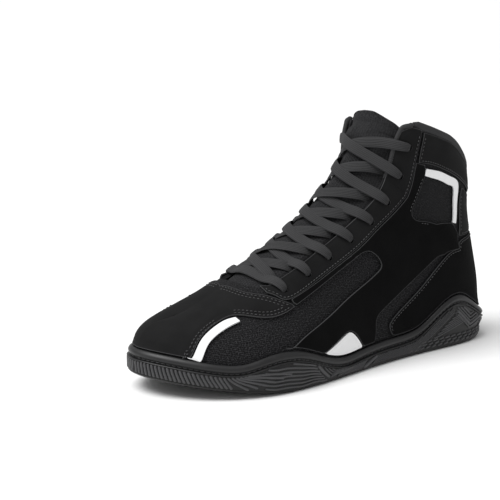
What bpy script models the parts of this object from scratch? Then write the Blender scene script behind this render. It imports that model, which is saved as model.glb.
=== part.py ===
"""Wrestling shoe for the left foot, in metres, +Z up.

The toe points towards +X and the outer side of the foot towards +Y. The sole rests on z = 0, and
the origin lies below the middle of the sole. The upper, its panels, the tongue and the laces are all
drawn on one surface, the last, through rows that run from the sole to the ridge of the foot.
"""
import math

import bmesh
import bpy
import numpy as np
from mathutils import Vector

# Driving sizes, in metres
SOLE_LENGTH = 0.290
BALL_WIDTH = 0.101
INSTEP_HEIGHT = 0.108
LEG_HEIGHT = 0.060
COLLAR_BACK_HEIGHT = 0.137
FOOTBED_HEIGHT = 0.009
TOE_SPRING = 0.012
FEATHER_INSET = 0.0045

# Sole outline: share of the length from the heel, share of the ball width from the middle line
LATERAL_OUTLINE = (
    (0.000, 0.000), (0.022, 0.190), (0.100, 0.325), (0.240, 0.352), (0.410, 0.385), (0.570, 0.460),
    (0.700, 0.500), (0.800, 0.470), (0.895, 0.340), (0.970, 0.120), (1.000, -0.120))
MEDIAL_OUTLINE = (
    (0.000, 0.000), (0.022, -0.185), (0.095, -0.312), (0.200, -0.322), (0.330, -0.285), (0.460, -0.290),
    (0.590, -0.375), (0.720, -0.481), (0.815, -0.496), (0.905, -0.437), (0.975, -0.310), (1.000, -0.120))

# Back line of the heel above the footbed: share of the length, share of the collar's back height
BACK_LINE = ((0.017, 0.180), (0.021, 0.310), (0.033, 0.450), (0.043, 0.590), (0.045, 0.710),
             (0.040, 0.825), (0.036, 0.925), (0.041, 1.000))

# Rows of the upper, from the toe tip to the collar and on to the tongue's top.
# foot: share of the sole outline from toe to heel, and from 1 to 2 up the back line.
# ridge: where the row meets the middle line, along (length), across (width), height (instep and leg).
# rise, spread, lean and reach, forward, drop: the two handles of the row's curve.
ROWS = (
    # foot, along, across, instep, leg, rise, spread, lean, reach, forward, drop
    (0.000, 0.907, -0.12, 0.402, 0.000, 0.160, 0.00, 0.000, 0.00, 0.059, 0.000),
    (0.075, 0.876, -0.11, 0.425, 0.000, 0.175, 0.00, 0.003, 0.16, 0.048, 0.000),
    (0.170, 0.828, -0.10, 0.475, 0.000, 0.195, 0.01, 0.003, 0.28, 0.024, 0.000),
    (0.290, 0.762, -0.08, 0.575, 0.000, 0.230, 0.02, 0.000, 0.34, 0.007, -0.010),
    (0.420, 0.690, -0.06, 0.700, 0.000, 0.260, 0.01, 0.000, 0.38, 0.000, -0.020),
    (0.550, 0.610, -0.04, 0.845, 0.000, 0.295, 0.00, 0.000, 0.41, 0.000, -0.037),
    (0.690, 0.538, -0.02, 1.000, 0.000, 0.335, 0.01, 0.000, 0.44, -0.014, -0.055),
    (0.840, 0.479, -0.01, 1.000, 0.283, 0.370, 0.05, -0.014, 0.48, -0.028, -0.055),
    (1.000, 0.441, 0.00, 1.000, 0.533, 0.280, 0.30, -0.030, 0.50, -0.041, -0.055),
    (1.350, 0.414, 0.00, 1.000, 0.733, 0.110, 0.28, -0.007, 0.53, -0.028, -0.037),
    (1.700, 0.397, 0.00, 1.000, 0.883, 0.020, 0.29, 0.000, 0.55, -0.014, 0.000),
    (2.000, 0.386, 0.00, 1.000, 1.000, 0.000, 0.31, 0.000, 0.54, 0.000, 0.000),
    (2.100, 0.390, 0.00, 1.000, 1.180, 0.000, 0.31, 0.000, 0.54, 0.000, 0.000))
HEEL_ROW = 8
COLLAR_ROW = 11

# Level sections of heel and ankle: height, place of the widest point (length), outer and inner half
# width (ball width), and the power of the rounding
HEEL_SECTIONS = (
    (0.009, 0.205, 0.310, 0.270, 2.60), (0.035, 0.215, 0.322, 0.300, 2.45),
    (0.060, 0.235, 0.328, 0.322, 2.30), (0.085, 0.260, 0.312, 0.308, 2.20),
    (0.110, 0.275, 0.292, 0.292, 2.10), (0.135, 0.280, 0.302, 0.302, 2.05),
    (0.170, 0.280, 0.318, 0.318, 2.00))
HEEL_BLEND = (0.083, 0.122)
FRONT_BLEND = (0.66, 0.82)
SOLE_BLEND = (0.009, 0.034)


class Spline:
    """Natural cubic through points at growing places."""

    def __init__(self, places, values):
        self.places = np.asarray(places, float)
        self.values = np.asarray(values, float)
        count = len(self.places)
        gaps = np.diff(self.places)
        matrix = np.eye(count)
        right = np.zeros_like(self.values)
        for i in range(1, count - 1):
            matrix[i, i - 1:i + 2] = gaps[i - 1], 2 * (gaps[i - 1] + gaps[i]), gaps[i]
            after = (self.values[i + 1] - self.values[i]) / gaps[i]
            before = (self.values[i] - self.values[i - 1]) / gaps[i - 1]
            right[i] = 6 * (after - before)
        self.bends = np.linalg.solve(matrix, right)

    def __call__(self, place):
        place = np.clip(np.asarray(place, float), self.places[0], self.places[-1])
        i = np.clip(np.searchsorted(self.places, place, "right") - 1, 0, len(self.places) - 2)
        gap = self.places[i + 1] - self.places[i]
        after = place - self.places[i]
        before = gap - after
        if self.values.ndim > 1:
            gap, after, before = gap[..., None], after[..., None], before[..., None]
        bend = (self.bends[i] * before ** 3 + self.bends[i + 1] * after ** 3) / (6 * gap)
        start = (self.values[i] / gap - self.bends[i] * gap / 6) * before
        end = (self.values[i + 1] / gap - self.bends[i + 1] * gap / 6) * after
        return bend + start + end


def outline_halves():
    """Each half of the sole outline from toe tip to heel tip, evenly spaced, with outward normals."""
    loop = list(LATERAL_OUTLINE) + list(MEDIAL_OUTLINE[1:-1][::-1])
    wrap = 4
    points = np.array(loop[-wrap:] + loop + loop[:wrap + 1]) * (SOLE_LENGTH, BALL_WIDTH)
    steps = np.sqrt(np.linalg.norm(np.diff(points, axis=0), axis=1))
    places = np.concatenate([[0], np.cumsum(steps)])
    curve = Spline(places, points)
    heel, toe, end = places[wrap], places[wrap + len(LATERAL_OUTLINE) - 1], places[wrap + len(loop)]
    halves = {}
    for side, finish in ((1, heel), (-1, end)):
        dense = curve(np.linspace(toe, finish, 2001))
        length = np.concatenate([[0], np.cumsum(np.linalg.norm(np.diff(dense, axis=0), axis=1))])
        even = np.linspace(0, length[-1], 481)
        line = np.stack([np.interp(even, length, dense[:, k]) for k in (0, 1)], 1)
        along = np.gradient(line, axis=0)
        outward = np.stack([-along[:, 1], along[:, 0]], 1) * -side
        outward[0], outward[-1] = (1, 0), (-1, 0)
        halves[side] = (line, outward / np.linalg.norm(outward, axis=1)[:, None])
    return halves


HALVES = outline_halves()


def outline_at(share, side, inset=0.0):
    """Plan point of the sole outline, moved inwards by inset, and the outward normal there."""
    line, outward = HALVES[side]
    place = np.clip(np.asarray(share, float), 0, 1) * (len(line) - 1)
    index = np.arange(len(line))
    point = np.stack([np.interp(place, index, line[:, k]) for k in (0, 1)], -1)
    normal = np.stack([np.interp(place, index, outward[:, k]) for k in (0, 1)], -1)
    normal /= np.linalg.norm(normal, axis=-1)[..., None]
    return point - normal * inset, normal


def spring(x):
    """Height of the sole's underside, which curves up towards the toe."""
    rocker = 0.72 * SOLE_LENGTH
    return TOE_SPRING * np.clip((x - rocker) / (SOLE_LENGTH - rocker), 0, None) ** 1.3


BACK = Spline(
    [1.0] + [1 + (height * COLLAR_BACK_HEIGHT - FOOTBED_HEIGHT) / (COLLAR_BACK_HEIGHT - FOOTBED_HEIGHT)
             for _, height in BACK_LINE],
    [(FEATHER_INSET, FOOTBED_HEIGHT)] + [(along * SOLE_LENGTH, height * COLLAR_BACK_HEIGHT)
                                         for along, height in BACK_LINE])


def foot_point(foot, side):
    """Where a row starts: on the feather line, or on the back line for a foot value over 1."""
    plan, _ = outline_at(foot, side, FEATHER_INSET)
    low = np.concatenate([plan, FOOTBED_HEIGHT + spring(plan[..., :1])], -1)
    back = BACK(np.clip(foot, 1, 2))
    high = np.stack([back[..., 0], 0 * back[..., 0], back[..., 1]], -1)
    return np.where((foot > 1)[..., None], high, low)


UNITS = np.array((1, SOLE_LENGTH, BALL_WIDTH, INSTEP_HEIGHT, LEG_HEIGHT, INSTEP_HEIGHT, BALL_WIDTH,
                  SOLE_LENGTH, BALL_WIDTH, SOLE_LENGTH, INSTEP_HEIGHT))
ROW_CURVES = Spline(range(len(ROWS)), np.array(ROWS) * UNITS)


HEEL_CURVES = Spline(*zip(*((row[0], row[1:]) for row in HEEL_SECTIONS)))
BACK_X, BACK_Z = BACK(np.linspace(1, 2, 101)).T


def smooth_step(value, start, end):
    """0 before start, 1 after end, with no corner between."""
    share = np.clip((value - start) / (end - start), 0, 1)
    return share * share * (3 - 2 * share)


def heel_form(point, t, side):
    """Draws a point of heel or ankle towards the rounded level section at its height."""
    x, y, z = np.moveaxis(point, -1, 0)
    widest, outer, inner, power = np.moveaxis(HEEL_CURVES(z), -1, 0)
    widest = widest * SOLE_LENGTH
    half = (outer if side > 0 else inner) * BALL_WIDTH
    depth = widest - np.interp(z, BACK_Z, BACK_X)
    behind = np.clip((widest - x) / depth, 0, None)
    aside = np.abs(y) / half
    reach = (behind ** power + aside ** power) ** (1 / power)
    stretch = 1 / np.maximum(reach, 0.2)
    round_x = np.where(behind > 0, widest - behind * depth * stretch, x)
    round_y = y * stretch
    share = (1 - smooth_step(x, *HEEL_BLEND)) * (1 - smooth_step(t, *FRONT_BLEND))
    share *= smooth_step(z, *SOLE_BLEND)
    return np.stack([x + (round_x - x) * share, y + (round_y - y) * share, z], -1)


def last(s, t, side):
    """Point of the upper's outer surface on row s, from the foot line (t 0) to the ridge (t 1)."""
    s, t = np.broadcast_arrays(np.asarray(s, float), np.asarray(t, float))
    foot, along, across, instep, leg, rise, spread, lean, reach, forward, drop = \
        np.moveaxis(ROW_CURVES(s), -1, 0)
    start = foot_point(foot, side)
    ridge = np.stack([along, across, instep + leg], -1)
    low = start + np.stack([lean, side * spread, rise], -1)
    high = ridge + np.stack([forward, side * reach, drop], -1)
    t = t[..., None]
    u = 1 - t
    point = start * u ** 3 + 3 * low * t * u ** 2 + 3 * high * t * t * u + ridge * t ** 3
    return heel_form(point, t[..., 0], side)


# Walls, clearances and sole sizes, in metres
UPPER_WALL = 0.0024
GAP = 0.0003
PANEL_GAP = 0.0007
WRAP_GAP = 0.0010
BEAD_CLEARANCE = 0.0022
SEAT_DEPTH = 0.0009
CUP_GAP = 0.0006
PANEL_THICKNESS = 0.0010
TRIM_THICKNESS = 0.0012
EYESTAY_THICKNESS = 0.0012
WAVE_HEIGHT = 0.0365
WALL_LEVELS = 5
BEAD_BULGE = 0.0032
GROOVE_DROPS = (0.0042, 0.0052)
GROOVE_DEPTH = 0.0015
SIDE_DROP = 0.0058
SIDE_FOOT = 0.0024
SIDE_FLARE = 0.0200
SIDE_LEVELS = 4
RIB_DEPTH = 0.0006
TREAD_DEPTH = 0.0012
TREAD_EDGE = 0.0026
TREAD_BAND = 0.0060
LUG_RADIUS = 0.0058
LUG_PITCH = 0.0178
PAD_RADIUS = 0.0100
INSOLE_THICKNESS = 0.0030
INSOLE_MARGIN = 0.0010
TONGUE_THICKNESS = 0.0045
TONGUE_DEPTH = 0.0021
EYELET_RADIUS = 0.0021
LACE_WIDTH = 0.0075
LACE_THICKNESS = 0.0015
LACE_SINK = 0.0009
LACE_GAP = 0.0011
TOP_LACE_LIFT = 0.0006
BINDING_RADIUS = 0.0021

# Bead section: height over the sole's top edge, share of the bulge
BEAD_SECTION = ((0.0006, 0.30), (-0.0006, 0.85), (-0.0022, 1.00), (-0.0036, 0.88))

# Lower edge of the sole's side and the tread's flat band: height over the underside, inset
EDGE_SECTION = ((0.0008, 0.0009), (0.0, TREAD_EDGE), (0.0, TREAD_EDGE + TREAD_BAND))

# Top edge of the sole: share of the outline from toe to heel, share of the wave height
WAVE = Spline(*zip(
    (0.00, 0.45), (0.09, 0.46), (0.18, 0.445), (0.22, 0.475), (0.27, 0.62), (0.32, 0.705), (0.37, 0.63),
    (0.42, 0.46), (0.47, 0.355), (0.53, 0.385), (0.60, 0.425), (0.66, 0.44), (0.70, 0.51), (0.74, 0.72),
    (0.785, 0.96), (0.82, 1.00), (0.87, 0.80), (0.93, 0.54), (1.00, 0.48)))

# Inner edge of the eyestays and the collar's front corners: row, t
THROAT_START = 3.20
THROAT_ROUND = 0.60
CORNER_ROUND = 0.40
CORNER_DROP = 0.06
THROAT = Spline(*zip(
    (3.80, 0.727), (4.76, 0.727), (5.40, 0.742), (6.08, 0.750), (6.56, 0.756), (7.04, 0.765), (7.55, 0.785),
    (8.10, 0.792), (8.80, 0.785), (9.70, 0.777), (10.40, 0.765), (11.00, 0.750), (12.00, 0.740)))

# Eyelets from the toe up: row, t
EYELETS = ((3.86, 0.640), (4.56, 0.648), (5.22, 0.664), (5.89, 0.681), (6.54, 0.694), (7.25, 0.722),
           (8.48, 0.740), (9.86, 0.712))
# Which side's lace lies on top in each crossing, from the toe up
OVER_SIDES = (1, -1, 1, 1, -1, 1, 1)

# Panels: rows of (row, t) on the lower edge and (row, t) on the upper edge. BEAD is the sole's top edge.
BEAD = -1.0
TOE_OVERLAY = (
    (0.00, BEAD, 0.00, 1.000), (0.35, BEAD, 0.35, 1.000), (0.75, BEAD, 0.75, 1.000),
    (1.15, BEAD, 1.15, 1.000), (1.42, BEAD, 1.45, 1.000), (1.55, 0.200, 1.75, 1.000),
    (1.68, 0.380, 2.05, 1.000), (1.92, 0.535, 2.35, 1.000), (2.25, 0.615, 2.62, 1.000),
    (2.55, 0.625, 2.86, 1.000), (2.85, 0.570, 2.98, 0.930), (3.15, 0.515, 3.10, 0.800),
    (3.42, 0.495, 3.38, 0.695), (3.65, 0.497, 3.62, 0.600), (3.80, 0.506, 3.79, 0.530))
TOE_STRIPE = (
    (1.46, BEAD, 1.66, BEAD), (1.58, 0.190, 1.75, 0.160), (1.71, 0.365, 1.86, 0.320),
    (1.95, 0.510, 2.08, 0.450), (2.27, 0.590, 2.36, 0.520), (2.55, 0.597, 2.60, 0.548))
EYESTAY = (
    (3.50, 0.690, 3.50, 0.768), (3.62, 0.630, 3.62, 0.740), (3.82, 0.568, 3.80, 0.727),
    (4.50, 0.580, 4.50, 0.726), (5.20, 0.603, 5.20, 0.737), (5.97, 0.631, 5.97, 0.749),
    (6.47, 0.655, 6.47, 0.755), (7.12, 0.678, 7.12, 0.767), (7.82, 0.695, 7.82, 0.789),
    (8.60, 0.690, 8.60, 0.787), (9.55, 0.668, 9.55, 0.778), (10.40, 0.656, 10.40, 0.764),
    (10.93, 0.650, 10.93, 0.710))
QUARTER = (
    (3.42, BEAD, 3.42, 0.238), (3.64, BEAD, 3.64, 0.266), (3.88, BEAD, 3.90, 0.302),
    (4.22, 0.184, 4.25, 0.338), (4.62, 0.232, 4.62, 0.370), (4.86, 0.190, 4.95, 0.398),
    (4.98, BEAD, 5.40, 0.428), (5.14, BEAD, 5.85, 0.460), (5.24, 0.160, 6.05, 0.520),
    (5.34, 0.225, 6.18, 0.625), (5.60, 0.265, 6.50, 0.648), (6.00, 0.315, 6.95, 0.664),
    (6.40, 0.360, 7.30, 0.640), (6.80, 0.395, 7.70, 0.570), (7.15, 0.418, 8.05, 0.515),
    (7.60, 0.430, 8.30, 0.480))
WINDOW = (
    (4.06, BEAD, 4.02, 0.120), (4.30, BEAD, 4.30, 0.158), (4.55, BEAD, 4.58, 0.196),
    (4.70, BEAD, 4.71, 0.190), (4.80, BEAD, 4.80, 0.140), (4.85, BEAD, 4.86, 0.085))
COUNTER = (
    (5.62, BEAD, 5.57, 0.090), (5.74, BEAD, 5.56, 0.150), (5.95, BEAD, 5.78, 0.208),
    (6.35, BEAD, 6.35, 0.296), (6.75, BEAD, 6.95, 0.372), (7.15, BEAD, 7.60, 0.412),
    (7.50, BEAD, 8.22, 0.416), (7.80, BEAD, 8.80, 0.330), (8.05, BEAD, 9.30, 0.180),
    (8.38, 0.000, 9.55, 0.000))
BACK_STAY = (
    (8.55, 0.400, 10.03, 0.285), (8.82, 0.338, 10.05, 0.240), (9.20, 0.240, 10.06, 0.180),
    (9.52, 0.140, 10.07, 0.100), (9.67, 0.000, 10.07, 0.000))
CUFF = (
    (9.58, 0.645, 10.86, 0.630), (9.88, 0.563, 10.90, 0.560), (10.06, 0.470, 10.92, 0.460),
    (10.16, 0.360, 10.92, 0.350), (10.19, 0.250, 10.92, 0.240), (10.20, 0.120, 10.92, 0.115),
    (10.20, 0.000, 10.92, 0.000))
ANKLE_STRIPE = (
    (9.32, 0.605, 9.62, 0.592), (9.68, 0.490, 9.92, 0.494), (9.80, 0.416, 10.04, 0.408),
    (9.83, 0.372, 10.04, 0.330), (9.42, 0.386, 9.52, 0.350), (9.02, 0.412, 9.12, 0.382),
    (8.74, 0.434, 8.84, 0.406))

# Tongue: row, half width in t below the ridge
TONGUE = (
    (2.95, 0.240), (3.45, 0.330), (4.00, 0.360), (5.00, 0.350), (6.00, 0.340), (7.00, 0.325),
    (8.00, 0.305), (9.00, 0.310), (10.00, 0.310), (10.70, 0.300), (11.10, 0.280),
    (11.30, 0.235), (11.42, 0.130))

# Stations along the rows, finer at the toe, the throat and the heel
UPPER_STATIONS = (
    0.00, 0.32, 0.64, 0.96, 1.30, 1.70, 2.10, 2.50, 2.90, 3.20, 3.25, 3.38, 3.60, 3.85, 4.25, 4.65,
    5.05, 5.45, 5.85, 6.25, 6.65, 6.98, 7.22, 7.42, 7.60, 7.76, 7.89, 8.00, 8.25, 8.60, 8.95, 9.30,
    9.65, 10.00, 10.35, 10.66, 10.88, 11.00)
UPPER_STEPS = (0.00, 0.06, 0.13, 0.23, 0.36, 0.50, 0.66, 0.83, 1.00)
SOLE_STATIONS = (
    0.000, 0.021, 0.043, 0.067, 0.094, 0.125, 0.160, 0.198, 0.238, 0.278, 0.320, 0.362, 0.404, 0.450,
    0.505, 0.560, 0.615, 0.668, 0.708, 0.746, 0.784, 0.820, 0.855, 0.887, 0.916, 0.944, 0.972, 1.000)


def reference_surface():
    """A fine grid on the last and its averaged outward normals, for offsets along the surface."""
    rows = np.linspace(0, len(ROWS) - 1, 121)
    steps = np.linspace(0, 1, 41)
    normals = {}
    for side in (1, -1):
        grid = last(rows[:, None], steps[None, :], side)
        across = grid[1:, 1:] - grid[:-1, :-1]
        counter = grid[:-1, 1:] - grid[1:, :-1]
        cell = np.cross(across, counter) * side
        total = np.zeros_like(grid)
        for i in (0, 1):
            for j in (0, 1):
                total[i:len(rows) - 1 + i, j:len(steps) - 1 + j] += cell
        normals[side] = total
    heel = rows >= HEEL_ROW
    for place in ((slice(0, 1), slice(None)), (slice(None), slice(-1, None)), (heel, slice(0, 1))):
        both = normals[1][place] + normals[-1][place]
        normals[1][place] = both
        normals[-1][place] = both
    for side in (1, -1):
        normals[side] /= np.linalg.norm(normals[side], axis=-1)[..., None]
    return rows, steps, normals


REFERENCE_ROWS, REFERENCE_STEPS, REFERENCE_NORMALS = reference_surface()


def surface_normal(s, t, side):
    """Outward normal of the last, read between the reference grid's points."""
    s, t = np.broadcast_arrays(np.asarray(s, float), np.asarray(t, float))
    row = np.clip(s / (REFERENCE_ROWS[1]), 0, len(REFERENCE_ROWS) - 1.001)
    step = np.clip(t / (REFERENCE_STEPS[1]), 0, len(REFERENCE_STEPS) - 1.001)
    i, j = row.astype(int), step.astype(int)
    a, b = (row - i)[..., None], (step - j)[..., None]
    grid = REFERENCE_NORMALS[side]
    normal = ((1 - a) * (1 - b) * grid[i, j] + a * (1 - b) * grid[i + 1, j]
              + (1 - a) * b * grid[i, j + 1] + a * b * grid[i + 1, j + 1])
    return normal / np.linalg.norm(normal, axis=-1)[..., None]


def shell_point(s, t, side, offset):
    """Point of the last moved outwards by offset."""
    return last(s, t, side) + surface_normal(s, t, side) * offset


def throat_edge(s):
    """The t of the upper's free edge on row s: 1 before the throat, then its round start and sides."""
    start = np.clip((THROAT_START + THROAT_ROUND - s) / THROAT_ROUND, 0, 1)
    sides = THROAT(np.maximum(s, THROAT_START + THROAT_ROUND))
    corner = np.clip((s - COLLAR_ROW + CORNER_ROUND) / CORNER_ROUND, 0, 1)
    round_start = 1 - (1 - sides) * np.sqrt(1 - start ** 2)
    return round_start - CORNER_DROP * (1 - np.sqrt(1 - corner ** 2))


def wave_height(share, x):
    """Height of the sole's top edge."""
    return WAVE_HEIGHT * WAVE(share) + spring(x)


def bead_t(s, side):
    """The t at which row s leaves the sole's top edge, a little above it."""
    steps = np.linspace(0, 0.5, 101)
    outline = HALVES[side][0]
    line = last(s, steps, side)
    apart = np.linalg.norm(line[:, None, :2] - outline[None], axis=2)
    share = apart.argmin(axis=1) / (len(outline) - 1)
    clear = line[:, 2] - wave_height(share, line[:, 0]) - BEAD_CLEARANCE
    return float(steps[np.nonzero(clear <= 0)[0].max(initial=0)])


MATERIALS = {}


def material(name, color, roughness, metallic=0.0):
    """A Principled material, made once for each name."""
    if name not in MATERIALS:
        made = bpy.data.materials.new(name)
        made.use_nodes = True
        shader = made.node_tree.nodes["Principled BSDF"]
        shader.inputs["Base Color"].default_value = (*color, 1)
        shader.inputs["Roughness"].default_value = roughness
        shader.inputs["Metallic"].default_value = metallic
        made.diffuse_color = (*color, 1)
        MATERIALS[name] = made
    return MATERIALS[name]


NUBUCK = ("nubuck", (0.020, 0.020, 0.021), 0.85)
MESH_CLOTH = ("mesh cloth", (0.026, 0.026, 0.028), 0.90)
SMOOTH_TRIM = ("smooth trim", (0.030, 0.030, 0.032), 0.55)
WHITE_TRIM = ("white trim", (0.80, 0.80, 0.80), 0.50)
RUBBER = ("rubber", (0.055, 0.056, 0.058), 0.45)
KNIT = ("knit", (0.060, 0.060, 0.063), 0.95)
FOAM = ("foam", (0.035, 0.035, 0.038), 0.95)
LACE_CLOTH = ("lace cloth", (0.022, 0.022, 0.024), 0.90)


def solid(name, points, faces, look):
    """One closed object from points and faces, with shared corners welded and faces turned out."""
    mesh = bmesh.new()
    places = {}
    corners = []
    for x, y, z in points:
        key = (round(x * 1e6), round(y * 1e6), round(z * 1e6))
        if key not in places:
            places[key] = mesh.verts.new((x - SOLE_LENGTH / 2, y, z))
        corners.append(places[key])
    done = set()
    for face in faces:
        ring = list(dict.fromkeys(corners[i] for i in face))
        key = frozenset(ring)
        if len(ring) > 2 and key not in done:
            done.add(key)
            mesh.faces.new(ring)
    bmesh.ops.recalc_face_normals(mesh, faces=mesh.faces)
    if mesh.calc_volume(signed=True) < 0:
        bmesh.ops.reverse_faces(mesh, faces=mesh.faces)
    data = bpy.data.meshes.new(name)
    mesh.to_mesh(data)
    mesh.free()
    data.materials.append(material(*look))
    data.shade_smooth()
    data.set_sharp_from_angle(angle=math.radians(40))
    made = bpy.data.objects.new(name, data)
    bpy.context.collection.objects.link(made)
    return made


def grid_faces(rows, columns, first=0):
    """Quads of a grid whose points run row by row."""
    return [(first + i * columns + j, first + i * columns + j + 1,
             first + (i + 1) * columns + j + 1, first + (i + 1) * columns + j)
            for i in range(rows - 1) for j in range(columns - 1)]


def shell(name, grids, inner, outer, look):
    """A sheet of constant thickness on the last. A grid holds (s, t) points and its side."""
    places = {}
    order = []
    faces = []
    for (s, t), side in grids:
        base = last(s, t, side)
        normal = surface_normal(s, t, side)
        rows, columns = s.shape
        index = np.zeros(s.shape, int)
        for i in range(rows):
            for j in range(columns):
                key = tuple(np.round(base[i, j] * 2e5).astype(int))
                if key not in places:
                    places[key] = len(order)
                    order.append((base[i, j], normal[i, j]))
                index[i, j] = places[key]
        for quad in grid_faces(rows, columns):
            ring = [index[k // columns, k % columns] for k in quad]
            if side < 0:
                ring.reverse()
            ring = list(dict.fromkeys(ring))
            if len(ring) > 2:
                faces.append(ring)
    count = len(order)
    points = [p + n * outer for p, n in order] + [p + n * inner for p, n in order]
    edges = {}
    for ring in faces:
        for a, b in zip(ring, ring[1:] + ring[:1]):
            edges[(a, b)] = edges.get((a, b), 0) + 1
    rim = [(a, b, b + count, a + count) for a, b in edges if (b, a) not in edges]
    under = [[i + count for i in reversed(ring)] for ring in faces]
    return solid(name, points, faces + under + rim, look)


def panel_grid(table, side, per_row, across):
    """Grid between a panel's lower and upper edges, with its rows joined by a smooth curve."""
    rows = []
    for low_s, low_t, high_s, high_t in table:
        low_t = bead_t(low_s, side) if low_t == BEAD else low_t
        high_t = bead_t(high_s, side) if high_t == BEAD else high_t
        rows.append((low_s, low_t, high_s, high_t))
    places = np.linspace(0, len(rows) - 1, (len(rows) - 1) * per_row + 1)
    edges = Spline(range(len(rows)), rows)(places)
    for edge, place in zip(edges, places):
        near = table[int(place)], table[math.ceil(place)]
        if near[0][1] == BEAD and near[1][1] == BEAD:
            edge[1] = bead_t(edge[0], side)
    share = np.linspace(0, 1, across + 1)[None, :]
    s = edges[:, 0:1] * (1 - share) + edges[:, 2:3] * share
    t = edges[:, 1:2] * (1 - share) + edges[:, 3:4] * share
    return (s, np.clip(t, 0, 1)), side


def panel(name, table, sides, thickness, look, per_row=1, across=2, gap=PANEL_GAP):
    """A panel of the upper, laid on it with a gap."""
    grids = [panel_grid(table, side, per_row, across) for side in sides]
    return shell(name, grids, gap, gap + thickness, look)


def make_upper():
    """The hollow upper, open at the collar, the throat and underneath."""
    s = np.array(UPPER_STATIONS)[:, None]
    share = np.array(UPPER_STEPS)[None, :]
    t = throat_edge(s) * share
    s = s + 0 * t
    return shell("upper", [((s, t), side) for side in (1, -1)], -UPPER_WALL, 0.0, MESH_CLOTH)


def upper_depths(share, side, heights):
    """How far the upper lies inside the sole outline at each height, along the outline's normal."""
    point, normal = outline_at(share, side)
    line = SECTIONS[side]
    depths = []
    for height in heights:
        section = []
        over = (line[..., 2] >= height).argmax(axis=1)
        reached = (line[:, 0, 2] < height) & (line[..., 2].max(axis=1) >= height)
        for row in np.nonzero(reached)[0]:
            low, high = line[row, over[row] - 1], line[row, over[row]]
            part = (height - low[2]) / (high[2] - low[2])
            section.append(low[:2] + (high[:2] - low[:2]) * part)
        back = FEATHER_INSET if height <= FOOTBED_HEIGHT else float(np.interp(height, BACK_Z, BACK_X))
        section.append(np.array((back, 0.0)))
        depths.append(ray_depth(point, normal, np.array(section)))
    return np.array(depths)


def ray_depth(point, normal, line):
    """Distance from a point of the outline, inwards along its normal, to a plan line."""
    start, end = line[:-1], line[1:]
    way = end - start
    inward = -normal
    cross = inward[0] * way[:, 1] - inward[1] * way[:, 0]
    to = start - point
    safe = np.where(np.abs(cross) < 1e-12, 1, cross)
    distance = (to[:, 0] * way[:, 1] - to[:, 1] * way[:, 0]) / safe
    place = (to[:, 0] * inward[1] - to[:, 1] * inward[0]) / safe
    hit = (np.abs(cross) > 1e-12) & (place > -0.02) & (place < 1.02) & (distance > -0.002)
    return distance[hit].min() if hit.any() else FEATHER_INSET


def section_lines():
    """The last in fine rows, for cutting level sections."""
    rows = np.linspace(0, COLLAR_ROW, 221)[:, None]
    steps = np.linspace(0, 0.6, 61)[None, :]
    return {side: last(rows, steps, side) for side in (1, -1)}


SECTIONS = section_lines()


def sole_profile(share, side):
    """Section of the outsole from the footbed's edge over the bead to the tread's edge."""
    plan, normal = outline_at(share, side)
    lift = float(spring(plan[0]))
    seat = plan - normal * FEATHER_INSET
    feather = FOOTBED_HEIGHT + float(spring(seat[0]))
    top = float(wave_height(share, plan[0]))
    heights = np.linspace(feather, top, WALL_LEVELS)
    depths = upper_depths(share, side, heights)
    depths[0] = FEATHER_INSET

    def wall(height, out, inset=0.0):
        depth = float(np.interp(height, heights, depths))
        plan_point = plan - normal * (depth - CUP_GAP - out + inset)
        return (*plan_point, height)

    full = FEATHER_INSET - CUP_GAP
    points = [wall(feather - SEAT_DEPTH, 0)]
    points += [wall(height, 0) for height in heights[1:]]
    points += [wall(top + rise, out * BEAD_BULGE) for rise, out in BEAD_SECTION]
    points += [wall(top - drop, BEAD_BULGE - GROOVE_DEPTH) for drop in GROOVE_DROPS]
    high = top - SIDE_DROP
    low = lift + SIDE_FOOT
    for level in range(SIDE_LEVELS):
        height = high + (low - high) * level / (SIDE_LEVELS - 1)
        out = float(np.interp(height, (feather, feather + SIDE_FLARE), (full, BEAD_BULGE)))
        points.append(wall(height, out, RIB_DEPTH * (level % 2)))
    points += [wall(lift + up, full, inset) for up, inset in EDGE_SECTION]
    points.append(wall(lift + TREAD_DEPTH, full, EDGE_SECTION[-1][1] + TREAD_DEPTH / 2))
    return points


def ring_solid(name, profiles, look):
    """Closed body from sections round the outline, with the first and last points joined across."""
    lateral, medial = profiles[1], profiles[-1]
    loop = lateral + medial[-2:0:-1]
    count, size = len(loop), len(loop[0])
    points = [point for section in loop for point in section]
    faces = []
    for i in range(count):
        follow = (i + 1) % count
        faces += [(i * size + j, i * size + j + 1, follow * size + j + 1, follow * size + j)
                  for j in range(size - 1)]
    half = len(lateral) - 1
    for end in (0, size - 1):
        for i in range(half):
            left = [i, i + 1]
            right = [(count - i) % count, (count - i - 1) % count]
            faces.append((left[0] * size + end, left[1] * size + end, right[1] * size + end,
                          right[0] * size + end))
    return solid(name, points, faces, look)


def inside_distance(x, y):
    """Distance of a plan point from the nearest point of the sole outline."""
    lines = np.concatenate([HALVES[1][0], HALVES[-1][0]])
    return np.linalg.norm(lines - (x, y), axis=1).min()


def prism(x, y, radius, sides, stretch=1.0, turn=0.0):
    """Corners and faces of an upright lug that reaches into the sole's plate."""
    lift = float(spring(x))
    rings = []
    for height in (lift, lift + TREAD_DEPTH + 0.0006):
        rings += [(x + stretch * radius * math.cos(turn + math.tau * k / sides),
                   y + radius * math.sin(turn + math.tau * k / sides), height) for k in range(sides)]
    faces = [tuple(range(sides)), tuple(range(2 * sides - 1, sides - 1, -1))]
    faces += [(k, (k + 1) % sides, sides + (k + 1) % sides, sides + k) for k in range(sides)]
    return rings, faces


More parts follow.
